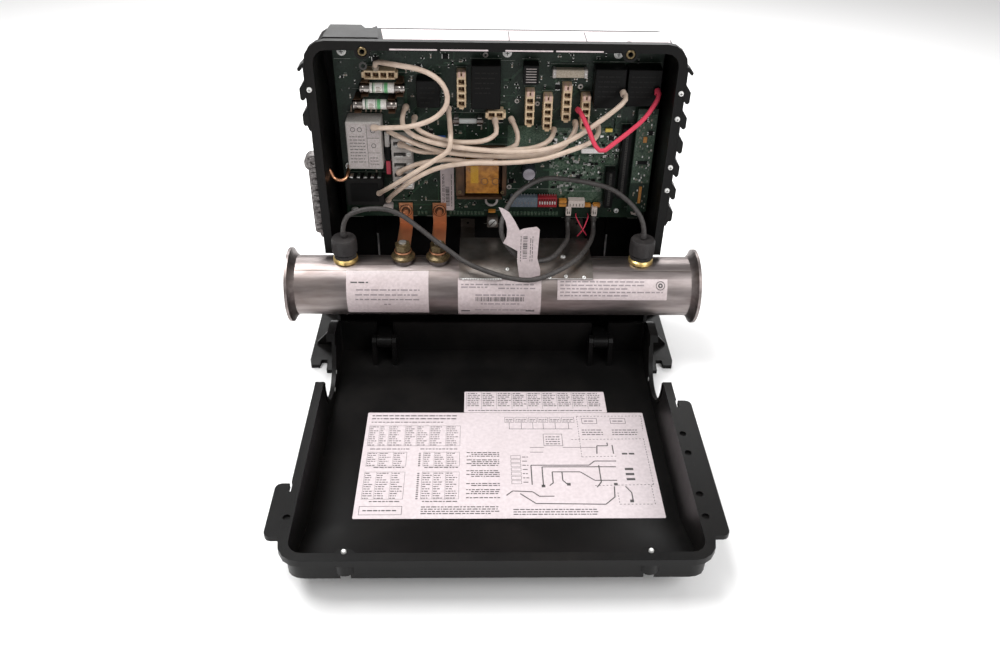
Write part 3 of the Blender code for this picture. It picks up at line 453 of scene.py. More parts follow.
class Piece:
    """One named object, gathered from shapes in several finishes."""

    def __init__(self, name):
        self.name = name
        self.bm = bmesh.new()
        self.looks = []

    def add(self, shape, look_name):
        if look_name not in self.looks:
            self.looks.append(look_name)
        scratch = bpy.data.meshes.new('scratch')
        shape.to_mesh(scratch)
        shape.free()
        before = len(self.bm.faces)
        self.bm.from_mesh(scratch)
        bpy.data.meshes.remove(scratch)
        self.bm.faces.ensure_lookup_table()
        for k in range(before, len(self.bm.faces)):
            self.bm.faces[k].material_index = self.looks.index(look_name)

    def done(self, slot=None, body='base', replaces=()):
        """Make the object, in metres, attach it to the body it rides on and hide the nodes it stands for."""
        bmesh.ops.translate(self.bm, vec=(0, FRONT_Y, 0), verts=self.bm.verts)
        bmesh.ops.scale(self.bm, vec=(MM, MM, MM), verts=self.bm.verts)
        mesh = bpy.data.meshes.new(self.name)
        self.bm.to_mesh(mesh)
        self.bm.free()
        mesh.shade_smooth()
        mesh.set_sharp_from_angle(angle=PIECE_CREASE)
        for name in self.looks:
            mesh.materials.append(look(name))
        made = bpy.data.objects.new(self.name, mesh)
        bpy.context.scene.collection.objects.link(made)
        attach(made, body)
        if replaces:
            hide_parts(*replaces)
        return made


def add_screw(piece, place, axis, radius, height):
    """A pan-head screw; its cross slot is drawn as dark slits of painted shade."""
    profile = [(0, 0), (radius, 0), (radius, height * 0.45), (radius * 0.88, height * 0.8),
               (radius * 0.55, height), (0, height)]
    piece.add(aimed(turned((0, 0, 0), UP, profile, 20), place, axis), 'zinc')
    long, wide = radius * 0.55, radius * 0.11
    # Two dark slits of painted shade for the cross slot.
    for half in ((long, wide), (wide, long)):
        slit = box((-half[0], -half[1], height - 0.25), (half[0], half[1], height + 0.04))
        piece.add(aimed(slit, place, axis), 'painted_hollow_shade')


# ---------------------------------------------------------------- cords
def smooth_route(points, spacing):
    """Evenly spaced points on a smooth curve through the given ones."""
    knots = [Vector(p) for p in points]
    knots = [knots[0] * 2 - knots[1]] + knots + [knots[-1] * 2 - knots[-2]]
    dense = []
    for i in range(1, len(knots) - 2):
        a, b, c, d = knots[i - 1:i + 3]
        for k in range(12):
            t = k / 12
            dense.append(0.5 * (2 * b + (c - a) * t + (2 * a - 5 * b + 4 * c - d) * t * t
                                + (3 * b - a - 3 * c + d) * t ** 3))
    dense.append(knots[-2])
    total = sum((q - p).length for p, q in zip(dense, dense[1:]))
    count = max(4, round(total / spacing))
    route = [dense[0]]
    walked = 0.0
    for p, q in zip(dense, dense[1:]):
        stretch = (q - p).length
        while len(route) < count and walked + stretch >= total * len(route) / count:
            route.append(p.lerp(q, (total * len(route) / count - walked) / stretch))
        walked += stretch
    route.append(dense[-1])
    return route


def cord(name, node, points, diameter, look_name, ends):
    """A wire along its route, with a terminal on each end."""
    route = smooth_route(points, diameter * 1.2)
    curve = bpy.data.curves.new(name, 'CURVE')
    curve.dimensions = '3D'
    curve.bevel_depth = diameter / 2 * MM
    curve.bevel_resolution = 4
    curve.use_fill_caps = True
    spline = curve.splines.new('POLY')
    spline.points.add(len(route) - 1)
    for point, place in zip(spline.points, route):
        point.co = (*placed(place), 1)
    spline.use_smooth = True
    curve.materials.append(look(look_name))
    made = bpy.data.objects.new(name, curve)
    bpy.context.scene.collection.objects.link(made)
    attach(made, 'base')
    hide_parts(node)
    tips = Piece(f'{name}_ends')
    for line, look_of_end in zip((route, route[::-1]), ends):
        reach = (Vector(line[0]) - Vector(line[2])).normalized()
        profile = [(diameter * 0.42, 0), (diameter * 0.56, 0), (diameter * 0.64, 0.5),
                   (diameter * 0.64, 4.6), (diameter * 0.56, 5.2), (diameter * 0.42, 5.2)]
        tips.add(turned(line[0], -reach, profile, 16, True), look_of_end)
    length = sum((q - p).length for p, q in zip(route, route[1:])) * MM
    tuple(placed(route[0]))
    tips.done()


JUMPERS = {
    'jumper_1': [(-102.4, 33.5, 279.0), (-100.5, 25, 287.5), (-85.2, 10, 291), (-61.9, 6, 288.0),
                 (-47.2, 4, 280.2), (-40.7, 3, 267.9), (-43.5, 3, 255.8), (-54.8, 3.5, 246),
                 (-72.3, 5, 239.5), (-90.3, 11, 235.5), (-101.4, 15, 233.6), (-107.2, 20.8, 231.3)],
    'jumper_2': [(-78.6, 42, 242.7), (-80.2, 30, 241.9), (-80.1, 16, 236.5), (-72, 9, 230.5),
                 (-57.4, 7, 225.1), (-38.4, 7, 220.8), (-12.3, 7, 217.5), (18.3, 7, 216.1),
                 (47.1, 8, 218.9), (70.3, 12, 227.7), (91, 13, 242.8), (107.4, 16, 255.8),
                 (112.2, 21, 260.8), (110, 28.4, 263.2)],
    'jumper_3': [(-94.8, 36, 222), (-89.9, 22, 225.5), (-80.4, 13.5, 225.0), (-64.9, 12.5, 218.9),
                 (-43.1, 12.5, 212.7), (-12.3, 12.5, 209.4), (18.6, 12.5, 208.9), (45.1, 13, 212),
                 (59.8, 14, 218.4), (67.4, 18, 226), (71, 26, 229.5), (72, 40, 230.5)],
    'jumper_4': [(-85.1, 27.8, 213.1), (-80, 21.5, 214.5), (-67.4, 18, 210.8), (-47.9, 18, 210.1),
                 (-21.3, 18, 211.5), (5.3, 17, 213), (30.1, 18, 214.2), (44, 19, 218.6),
                 (50, 25, 221.5), (52.4, 33, 222.3), (53.4, 42, 222.5)],
    'jumper_5': [(-41.3, 42, 241.5), (-40.8, 30, 242.5), (-39.6, 20, 236.6), (-38.5, 2, 229.4),
                 (-40.7, 0, 219.7), (-54.1, 1, 209.2), (-70.8, 3, 197.2), (-86.2, 12, 183.3),
                 (-100.7, 24, 169.1), (-108.1, 36, 159.9)],
    'jumper_6': [(-100, 42, 149.7), (-95.4, 30, 160), (-84.7, 16, 175.4), (-67.4, 10, 190.4),
                 (-47.5, 7, 200.8), (-21, 6.5, 205.3), (9.8, 6.5, 205.8), (40.5, 6.5, 209.2),
                 (66.5, 8, 217.4), (82, 12, 222.2), (90.2, 22, 225.1), (92.6, 32, 226),
                 (92.8, 42, 226)],
    'jumper_7': [(-87.5, 27.6, 184.8), (-81.1, 22, 191.3), (-65.9, 16, 200.2), (-43.3, 13.5, 205.0),
                 (-21.2, 12.5, 203.7), (-4, 16.6, 205.2), (1.5, 19.6, 207.6), (7, 24.5, 209.2),
                 (19, 26, 214), (20.2, 31, 222.2),
                 (16.7, 36, 229.9), (14, 42, 233.1)],
    'jumper_8': [(-0.3, 33, 235.7), (0.6, 26, 232.9), (0.7, 20, 227), (-10.6, 13, 223.3),
                 (-31.6, 12.5, 222.2), (-50.7, 12.5, 225.6), (-64.5, 13.5, 231.4),
                 (-70.8, 20, 234.9), (-71.3, 30, 234.4), (-71.5, 42, 232.5)],
}
RED_JUMPER = [(72.1, 29, 246.5), (74, 18, 247.3), (79.5, 7, 238.8), (86.2, 0.5, 225.4),
              (92.5, -1, 220.9), (101.7, 1, 226.6), (125.2, 10, 243.2), (136.2, 18, 254.6),
              (140.8, 23, 262.3), (139.8, 28.3, 265.5)]
CABLE_LEFT = [(-137, -6.5, 137.8), (-136.7, -6.5, 146.8), (-132.4, -6, 157.8), (-123.3, -4, 162.4),
              (-110.8, -2, 164.1), (-96.5, -2, 163.3), (-83.1, -4, 158.5), (-69.6, -8, 149.7),
              (-56, -13, 140.3), (-41.5, -18, 131), (-24.1, -27, 122.8), (-2.2, -34, 116.8),
              (16, -37, 113), (34.1, -38, 112.2), (49.5, -34, 114.9), (66, -26, 119.4),
              (80.3, -12, 123.1), (90, 8, 123.7), (95, 26, 122.5), (96.5, 35, 123.5),
              (96.5, 40.5, 128), (96.5, 41.5, 134.8)]
CABLE_RIGHT = [(137, -6.5, 137.8), (136.7, -6.5, 146), (133, -4, 157.8), (124.2, 6, 166.6),
               (107.8, 14, 176.4), (87.7, 18, 181.1), (64.9, 20, 183.8), (46.7, 20, 184.5),
               (33.2, 17, 180.3), (20.5, 10, 174), (12.4, 2, 165.9), (7.1, -8, 157),
               (6.3, -16, 148.2), (11, -22, 139.4), (21, -27, 130.7), (35.5, -27, 125.2),
               (52.2, -20, 124.4), (62, -6, 126.2), (68.5, 10, 125), (71.2, 26, 122.5),
               (71.6, 35, 123.5), (71.6, 40.5, 128), (71.6, 41.5, 134.6)]


def wiring():
    for k, (node, points) in enumerate(JUMPERS.items(), 1):
        first = 'sleeve' if k == 1 else 'wire'
        cord(f'load_wire_{k}', node, points, 4.4, 'wire', (first, 'wire'))
    cord('load_wire_red', 'red_jumper', RED_JUMPER, 4.0, 'red_wire', ('red_wire', 'red_wire'))
    for side, points in (('left', CABLE_LEFT), ('right', CABLE_RIGHT)):
        cord(f'probe_lead_{side}', f'sensor_cable_{side}', points, 4.5, 'cable',
             ('nut_nylon', 'cable'))


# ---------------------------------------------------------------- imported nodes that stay
def smoothing():
    """A node group that shades a mesh smooth except across its sharper edges."""
    group = bpy.data.node_groups.new('smooth_by_angle', 'GeometryNodeTree')
    group.interface.new_socket('Geometry', in_out='INPUT', socket_type='NodeSocketGeometry')
    group.interface.new_socket('Geometry', in_out='OUTPUT', socket_type='NodeSocketGeometry')
    source = group.nodes.new('NodeGroupInput')
    faces = group.nodes.new('GeometryNodeSetShadeSmooth')
    edges = group.nodes.new('GeometryNodeSetShadeSmooth')
    edges.domain = 'EDGE'
    edges.inputs['Shade Smooth'].default_value = False
    angle = group.nodes.new('GeometryNodeInputMeshEdgeAngle')
    sharp = group.nodes.new('FunctionNodeCompare')
    sharp.inputs['B'].default_value = NODE_CREASE
    out = group.nodes.new('NodeGroupOutput')
    group.links.new(angle.outputs['Unsigned Angle'], sharp.inputs['A'])
    group.links.new(sharp.outputs['Result'], edges.inputs['Selection'])
    group.links.new(source.outputs['Geometry'], faces.inputs['Geometry'])
    group.links.new(faces.outputs['Geometry'], edges.inputs['Geometry'])
    group.links.new(edges.outputs['Geometry'], out.inputs['Geometry'])
    return group


def dress(names, look_name, bevel=0.0):
    """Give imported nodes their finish, softened edges and smooth curves."""
    group = bpy.data.node_groups.get('smooth_by_angle') or smoothing()
    for name in names:
        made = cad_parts[name]
        for place in made.material_slots:
            place.material = look(look_name)
        made.modifiers.new('weld', 'WELD').merge_threshold = 0.00001
        flat = made.modifiers.new('flat', 'DECIMATE')
        flat.decimate_type = 'DISSOLVE'
        flat.angle_limit = math.radians(0.6)
        if bevel:
            edge = made.modifiers.new('edge', 'BEVEL')
            edge.width = bevel * MM
            edge.segments = 2
            edge.limit_method = 'ANGLE'
            edge.angle_limit = math.radians(42)
        made.modifiers.new('smooth', 'NODES').node_group = group
        made.modifiers.new('weight', 'WEIGHTED_NORMAL').keep_sharp = True


def packed_nodes():
    dress(['base_shell', 'lid_shell'], 'shell', 0.5)
    dress(['cord_clamp_right', 'cord_clamp_left'], 'clamp', 0.4)
    dress(['lid_screw_left', 'lid_screw_right'], 'zinc')
    dress(['mount_foot_left', 'mount_foot_right'], 'shell', 0.4)
    dress(['terminal_nut_left', 'terminal_nut_right'], 'bronze', 0.5)
    dress(['bonding_bar'], 'cast', 0.8)
    dress(['circuit_board', 'daughter_board'], 'board', 0.1)
    dress([f'relay_{k}' for k in range(1, 5)], 'relay', 0.3)
    dress(['power_relay', 'terminal_block'], 'grey_white', 0.4)
    dress(['transformer_core'], 'laminate', 0.3)
    dress([f'load_socket_{k}' for k in range(1, 6)] + ['mains_socket', 'pump_socket'], 'nylon', 0.15)
    dress(['dip_switch_body'], 'dip_red', 0.1)
    dress(['heater_tube'], 'tube_steel')
    dress(['heater_element'], 'steel')
    dress(['terminal_insulator_left', 'terminal_insulator_right'], 'bronze')
    dress(['copper_strap_left', 'copper_strap_right'], 'copper', 0.3)
    dress(['sensor_left', 'sensor_right'], 'nut_nylon', 0.4)
    dress(['tube_bracket'], 'bracket', 0.15)


# ---------------------------------------------------------------- housing fittings
CLAMP_SCREWS = {1: (0, 1, 3, 4), -1: (0,)}


def housing_screws():
    """Screws of the cord clamps and the board, with the posts behind the board."""
    screws = Piece('clamp_screws')
    for side, teeth in CLAMP_SCREWS.items():
        for k in teeth:
            add_screw(screws, (side * SIDE_WALL, 0, 272.6 - 22.3 * k), OUT, 2.2, 1.9)
    screws.done('zinc')

    boards = Piece('board_screws')
    posts = Piece('board_posts')
    for x, z in BOARD_SCREWS:
        back = BACK_WALL - max(0.0, z - SLOPE_Z) * SLOPE_RATE
        profile = [(1.7, 0), (4.5, 0), (4.5, back - POST_FROM), (1.7, back - POST_FROM)]
        posts.add(turned((x, POST_FROM, z), BACK, profile, 20, True), 'shell')
        if (x, z) == HIDDEN_SCREW:
            continue
        boards.add(washer((x, SEAT, z), OUT, 4.0, 1.7, 0.6), 'tin')
        add_screw(boards, (x, SEAT - 0.6, z), OUT, 3.1, 1.9)
    boards.done('zinc')
    posts.done('black_plastic')


def rim_fittings():
    """Brass inserts for the lid screws with rings of painted shade in their bores, painted highlights on the
    rib edges and pale strips of painted light in the tray's rim vents.
    """
    inserts = Piece('threaded_inserts')
    profile = [(2.2, 0), (3.2, 0), (3.7, 0.5), (3.7, 3), (4.1, 3.4), (4.1, 8), (2.2, 8)]
    across, height = LID_SCREW
    for x in (-across, across):
        inserts.add(turned((x, -0.3, height), BACK, profile, 24, True), 'bronze')
        # Dark rings of painted shade inside each insert's bore.
        for reach in (1.6, 3.2, 4.8):
            inserts.add(washer((x, reach, height), BACK, 2.3, 1.9, 0.6), 'painted_hollow_shade')
    # A dark ring of painted shade on the rim face below the left insert.
    inserts.add(washer((-across, 0, 293), OUT, 3.4, 1.8, 0.4), 'painted_hollow_shade')
    inserts.done('brass')

    edges = Piece('rib_edge_painted_highlights')
    # Thin steel strips: painted highlights on the rib edges.
    for x in (-115.5, 115.5):
        edges.add(slab((x - 0.9, x + 0.9), (62, 98.5), (69.1, 69.7), 0.15, 1), 'steel')
    edges.done()

    vent_light = Piece('rim_vent_painted_light')
    # Pale strips: painted light along the rim vent slots.
    for span in ((-86.5, -48.2), (-45.4, -7), (6.8, 45.4), (47.8, 86.3)):
        vent_light.add(slab(span, (306.0, 307.2), (-0.2, 0.4), 0.15, 1), 'label_satin')
    vent_light.done()


def top_wall():
    label = Piece('top_label_strip')
    label.add(prism([(-92, 14), (143, 14), (147, 46), (-97, 46)], 'z', TOP_WALL, TOP_WALL + 0.3),
              'label_satin')
    print_z = (TOP_WALL + 0.2, TOP_WALL + 0.36)
    for x in (10, 74):
        label.add(slab((x, x + 0.9), print_z, (17.5, 43.5)), 'ink')
    for column in ((-90, 4), (16, 68), (80, 144)):
        for row in range(4):
            y = 22 + 5.2 * row
            add_words(label, (*column, 2.2), print_z, (y, y + 0.9), 'label_grey')
    label.done()

    block = Piece('top_block')
    outline = [(-142, 12), (-96, 12), (-100, 45), (-107, 34), (-113, 47), (-140, 47)]
    block.add(prism(outline, 'z', TOP_WALL - 0.1, TOP_WALL + 3.6, 0.6), 'clamp')
    block.done('black_plastic')


def bonding_parts():
    bonding = Piece('bonding_screws')
    head = [(0, -3), (2.1, -3), (2.1, 0), (4.3, 0), (4.6, 0.8), (4.1, 2.6), (2.6, 3.4), (0, 3.5)]
    for k in range(6):
        x, y, z = -160, 14, 136 + 11.4 * k
        bonding.add(turned((x, y, z), OUT, head, 20), 'cast')
        # A dark slot of painted shade across each screw head.
        bonding.add(box((x - 3, y - 3.55, z - 0.45), (x + 3, y - 2.7, z + 0.45)), 'painted_hollow_shade')
    plug = [(0, -2), (3.6, -2), (3.6, 1.6), (2.8, 2.4), (0, 2.4)]
    bonding.add(turned((-158.5, 16, 128.2), OUT, plug, 6), 'cast')
    bonding.add(washer((-160.5, 13, 202), OUT, 4.6, 2.2, 1.2), 'cast')
    bonding.done('cast_aluminium')

    link = Piece('bonding_link')
    route = smooth_route([(-151, 28, 188.5), (-149, 27.8, 186), (-146, 27.5, 179.5), (-141, 27, 177.6),
                          (-136, 29, 178.6), (-134.4, 34, 181.5), (-134.2, 45.7, 183)], 2.0)
    link.add(swept(route, 1.7, 12), 'copper')
    link.add(washer((-134.2, SEAT, 183), OUT, 3.6, 1.5, 0.6), 'tin')
    link.done('copper')


def words(low, high, size):
    """Spans of made-up words that fill a line."""
    spans = []
    place = low
    while place < high - size * 0.6:
        end = min(place + size * RANDOM.uniform(0.9, 3.4), high)
        spans.append((place, end))
        place = end + size * 0.6
    return spans


def add_words(piece, line, rows, face, look_name, upright=False):
    """Made-up words along one line as thin print; rows is its span across, face its front and back."""
    for span in words(*line):
        piece.add(slab(rows, span, face) if upright else slab(span, rows, face), look_name)


def bars(low, high, widths, gaps):
    """Spans of a made-up bar code."""
    while low < high:
        wide = RANDOM.choice(widths)
        yield low, low + wide
        low += wide + RANDOM.choice(gaps)


# ---------------------------------------------------------------- circuit board
def add_block(piece, x, z, front, look_name, bevel=0.3):
    """A rounded block that stands on the board."""
    piece.add(slab(x, z, (front, SEAT), bevel), look_name)


def chip(x, z, half, height, bevel):
    """A small block on the board, by its middle, half its sizes and its height."""
    return slab((x - half[0], x + half[0]), (z - half[1], z + half[1]), (BOARD_Y - height, BOARD_Y),
                 bevel, 1)


LATCH = 5.5          # part of a column socket above its top contact

# Parts on the board by their x span and z span; small parts keep out from under them.
RELAYS = [(-68.5, -48, 246, 270.5), (-21, 4.5, 245, 284), (85.5, 112.5, 247, 282), (114, 143.5, 249, 282)]
# Power relay, terminal block, transformer and capacitor.
BIG_PARTS = [(-131.5, -100.5, 190, 235), (-93, -74, 167, 217), (-35, 11, 166, 205), (25, 39, 178, 193)]
# Upright sockets.
COLUMNS = [(-33.5, -25.5, 245, 276.5), (26.5, 34.5, 229, 260), (42.5, 50.5, 225, 256),
           (59, 67, 233.5, 265.5), (76, 84, 226, 256.5)]
OTHERS = [
    (-113, -86.2, 269.2, 277.2), (-7.5, 8.5, 237, 245), (127, 145, 143, 245),
    (-118, -77, 258, 271), (-125, -84, 243, 256), (-39, -9, 227, 235), (16, 60, 146, 160),
    (-137.2, -101.9, 149, 176.3), (-95, -74, 132, 147), (-63, -43, 132, 147), (49, 80, 270, 280),
    (24, 37, 266, 284), (-50, -37.5, 138, 186), (116, 124, 156, 226), (104.5, 112.5, 146, 184.5),
    (67, 101, 131, 158), (131, 139, 131, 150), (-8, 8, 124, 137), (-100, -94, 178, 221),
    (-138, -126, 131, 143), (-138, -126, 284, 296), (4, 16, 284, 296), (100, 112, 284, 296),
]
TALL_PARTS = RELAYS + BIG_PARTS + COLUMNS + OTHERS
# Sockets that lie level, with their count of contacts.
ROWS = [(-113, -86.2, 269.2, 277.2, 4), (-6.5, 7.5, 234, 242, 2)]


def free_of_tall(x, z, margin):
    return all(not (a - margin < x < b + margin and c - margin < z < d + margin)
               for a, b, c, d in TALL_PARTS)


def board_tracks():
    tracks = Piece('board_tracks')
    for k in range(90):
        x, z = RANDOM.uniform(-130, 134), RANDOM.uniform(140, 284)
        run, rise = RANDOM.choice(((12, 4), (20, 6), (5, 15), (6, 24), (30, 5)))
        wide = RANDOM.choice((0.7, 1.0, 1.8))
        bend = (x + run, z)
        corners = [(x, z), bend, (bend[0] + rise, z + rise), (bend[0] + rise, z + rise + run * 0.6)]
        for (a, c), (b, d) in zip(corners, corners[1:]):
            if max(a, b) > 144 or max(c, d) > 294:
                break
            tracks.add(strip((a, c), (b, d), wide, BOARD_Y - 0.05, BOARD_Y + 0.05), 'track')
    tracks.done('board_green')


def busy_area():
    """The crowded part of the board round the processor."""
    busy = Piece('board_busy_area')
    for low, high in (((52, 147.5), (103, 222)), ((103.5, 186), (115, 222)), ((12, 196), (52, 224))):
        busy.add(prism(rounded(low[0], high[0], low[1], high[1], 1.5), 'y', BOARD_Y - 0.04, BOARD_Y + 0.04),
                 'board_busy')
    for k in range(420):
        x, z = RANDOM.uniform(53, 114), RANDOM.uniform(149, 221)
        half = RANDOM.choice(((0.5, 0.9), (0.9, 0.5), (0.4, 0.4), (1.6, 1.2)))
        if free_of_tall(x, z, 1.4):
            look_name = RANDOM.choice(('relay', 'silk', 'silk', 'board_busy', 'tin'))
            busy.add(chip(x, z, half, 0.8, 0.1), look_name)
    busy.done('board_green')


def solder_joints():
    joints = Piece('solder_joints')
    for k in range(260):
        x, z = RANDOM.uniform(-136, 142), RANDOM.uniform(134, 293)
        if free_of_tall(x, z, 1.5):
            size = RANDOM.uniform(0.45, 0.9)
            cone = [(0, -0.1), (size, -0.1), (size * 0.6, 0.5), (0, 0.9)]
            joints.add(turned((x, BOARD_Y, z), OUT, cone, 8), 'steel')
    for k in range(46):
        x = -92 + 3.4 * k
        if free_of_tall(x, 133.5, 0.6):
            joints.add(slab((x - 1.3, x + 1.3), (133.2, 137), (44.6, BOARD_Y), 0.3, 1), 'board_busy')
            joints.add(slab((x - 0.4, x + 0.4), (134.4, 135.4), (44.3, BOARD_Y), 0.1, 1), 'bracket')
    joints.done()


def surface_parts():
    """Small surface-mounted parts with tinned ends, and the print beside them."""
    small = Piece('surface_parts')
    prints = Piece('board_prints')
    ink = (BOARD_Y - 0.06, BOARD_Y + 0.02)
    for k in range(330):
        x, z = RANDOM.uniform(-134, 140), RANDOM.uniform(136, 290)
        kind = RANDOM.random()
        half = (2.6, 2.0) if kind > 0.9 else (1.1, 0.65)
        if RANDOM.random() < 0.5:
            half = half[::-1]
        if not free_of_tall(x, z, max(half) + 0.6):
            continue
        look_name = RANDOM.choice(('relay', 'sleeve', 'dark_block'))
        small.add(chip(x, z, half, 0.9, 0.12), 'relay' if kind > 0.9 else look_name)
        for side in (-1, 1):
            if half[0] > half[1]:
                end = chip(x + side * half[0], z, (0.35, half[1] - 0.05), 0.75, 0)
            else:
                end = chip(x, z + side * half[1], (half[0] - 0.05, 0.35), 0.75, 0)
            small.add(end, 'tin')
        wide = RANDOM.uniform(1.2, 3.5)
        z += half[1]
        prints.add(slab((x - wide / 2, x + wide / 2), (z + 0.7, z + 1.3), ink), 'silk')
    for a, b, c, d in TALL_PARTS:
        if b - a > 6 and d - c > 6:
            for rule in ((c - 1, c - 0.6), (d + 0.6, d + 1)):
                prints.add(slab((a - 1, b + 1), rule, ink), 'silk')
    small.done()
    prints.done()


def strip(start, end, wide, low, high):
    """A flat run on the board from one (x, z) to another."""
    start, end = Vector(start), Vector(end)
    across = (end - start).normalized().orthogonal() * wide / 2
    along = (end - start).normalized() * wide / 2
    a, b = start - along, end + along
    return prism([a - across, b - across, b + across, a + across], 'y', low, high)


def relays():
    prints = Piece('relay_prints')
    for a, b, c, d in RELAYS:
        lid = rounded(a + 0.9, b - 0.9, c + 0.9, d - 0.9, 1.0)
        prints.add(prism(lid, 'y', RELAY_FACE - 0.05, RELAY_FACE + 0.4, 0.12), 'relay')
        for row in range(5):
            z = d - 7 - row * 4.4
            line = (a + 3, b - 3 - row * 1.5, 1.8)
            add_words(prints, line, (z, z + 0.9), (RELAY_FACE - 0.1, RELAY_FACE), 'dark_block')
    prints.done('relay_black')

    extra = Piece('small_relay')
    add_block(extra, (24, 37), (267, 283.5), 32, 'relay')
    for row in range(6):
        z = 281 - row * 2.3
        extra.add(slab((26, 35), (z - 0.7, z), (31.93, 32.1)), 'label_grey')
    extra.done('relay_black')


def power_relay():
    power = Piece('power_relay_label')
    face = POWER_RELAY_FACE
    ink = (face - 0.26, face - 0.1)
    power.add(prism(rounded(-130.2, -101.8, 191.4, 233.6, 0.8), 'y', face - 0.2, face + 0.1), 'label_grey')
    power.add(slab((-113.2, -112.8), (192, 233), ink), 'ink')
    for z in (206, 220):
        power.add(slab((-112.8, -102.2), (z, z + 0.4), ink), 'ink')
    for x, z in ((-125, 228), (-119, 228), (-107.5, 227), (-107.5, 213)):
        power.add(washer((x, face - 0.15, z), OUT, 2.2, 1.6, 0.12, 20), 'ink')
    for count, top, line in ((9, 221, (-128.5, -115, 1.2)), (3, 201, (-111.5, -103.5, 1.0))):
        for row in range(count):
            z = top - row * 3.0
            add_words(power, line, (z, z + 0.7), ink, 'ink')
    for z in (196, 229):
        power.add(slab((-124, -108), (z - 2, z + 2), (40.5, 44), 0.3), 'tin')
    power.done('relay_white')


def terminal_block():
    blades = Piece('terminal_blades')
    head = [(0, 0), (2.0, 0), (2.0, 0.5), (1.5, 0.8), (0, 0.8)]
    for k in range(5):
        z = TERMINALS_FROM + TERMINAL_PITCH * k
        # Dark plates of painted shade behind each blade opening and in each screw's slot.
        blades.add(prism(rounded(-91, -80, z - 1.8, z + 1.8, 0.6), 'y', 29.9, 30.06), 'painted_hollow_shade')
        blades.add(slab((-89, -82.5), (z - 0.4, z + 0.4), (25.5, 31), 0.15), 'tin')
        blades.add(turned((-77.3, 30.3, z), OUT, head, 16), 'zinc')
        blades.add(slab((-78.9, -75.7), (z - 0.2, z + 0.2), (29.45, 29.6)), 'painted_hollow_shade')
    for k in range(4):
        z = TERMINALS_FROM + TERMINAL_PITCH * (k + 0.5)
        blades.add(slab((-93.1, -73.9), (z - 0.4, z + 0.4), (29.4, 31), 0.15), 'grey_white')
    blades.done('beige_plastic')

    bars = Piece('status_strip')
    for low, high, look_name in ((206, 220, 'white'), (192.5, 205.5, 'dark_block'), (179, 192, 'signal_red')):
        add_block(bars, (-99, -95), (low, high), 37, look_name)
    bars.done()


def power_fuses():
    cap = [(0, 0), (4.2, 0), (4.7, 0.6), (4.8, 1.2), (4.8, 3.4), (4.6, 3.7), (4.8, 4.0), (4.8, 8.6),
           (4.5, 9), (4.2, 9), (4.2, 9.3), (0, 9.3)]
    for name, node, low, high, z in (('fuse_upper', 'power_fuse_1', -117, -78, 263.4),
                                     ('fuse_lower', 'power_fuse_2', -124, -85.5, 248.6)):
        made = Piece(name)
        length = high - low
        for start, axis in ((low, 1), (high, -1)):
            made.add(turned((start, FUSE_Y, z), (axis, 0, 0), cap, 28), 'fuse_cap')
        body = [(0, 8.8), (4.3, 8.8), (4.3, length - 8.8), (0, length - 8.8)]
        made.add(turned((low, FUSE_Y, z), (1, 0, 0), body, 28), 'ceramic')
        for place, wide, look_name in ((11.2, 0.9, 'green_dark'), (12.6, 0.5, 'green_light'),
                                       (20.2, 0.6, 'green_dark'), (21.4, 3.0, 'green_light')):
            band = [(4.2, place), (4.36, place), (4.36, place + wide), (4.2, place + wide)]
            made.add(turned((low, FUSE_Y, z), (1, 0, 0), band, 28, True), look_name)
        x = low + 14.6
        for row in range(4):
            line = z - 2.2 + row * 1.2
            made.add(slab((x, x + 4.2 - row % 2), (line, line + 0.5), (26.62, 26.95)), 'sleeve')
        made.done('white_ceramic', replaces=(node,))
        clips = Piece(f'{name}_clips')
        for x in (low + 1.5, high - 7.5):
            outline = [(26.2, 6.3), (26.6, 5.6), (29, 5.0), (44.2, 5.0), (44.2, -5.0), (29, -5.0),
                       (26.6, -5.6), (26.2, -6.3), (29, -5.7), (45.4, -5.7), (45.4, 5.7), (29, 5.7)]
            outline = [(y, z + w) for y, w in outline]
            clips.add(prism(outline, 'x', x, x + 6), 'laminate')
        clips.done('copper')


def glass_fuse():
    glass = Piece('glass_fuse_tube')
    y, z = GLASS_FUSE
    cap = [(0, 0), (2.5, 0), (2.8, 0.4), (2.8, 5.8), (2.6, 6), (2.2, 6), (0, 6.2)]
    for start, axis in zip(GLASS_FUSE_ENDS, (1, -1)):
        glass.add(turned((start, y, z), (axis, 0, 0), cap, 20), 'fuse_cap')
    glass.add(turned((-32, y, z), (1, 0, 0), [(0, 0), (2.3, 0), (2.3, 16), (0, 16)], 20), 'glass')
    glass.done('glass', replaces=('glass_fuse',))
    holder = Piece('glass_fuse_clips')
    for x in (-36.5, -15.5):
        for side in (-1, 1):
            leaf = z + side * 3.3
            holder.add(slab((x, x + 4), (leaf - 0.3, leaf + 0.3), (36.4, SEAT), 0.1), 'tin')
        holder.add(slab((x, x + 4), (z - 3.2, z + 3.2), (41.2, 41.9), 0.1), 'tin')
    holder.done()


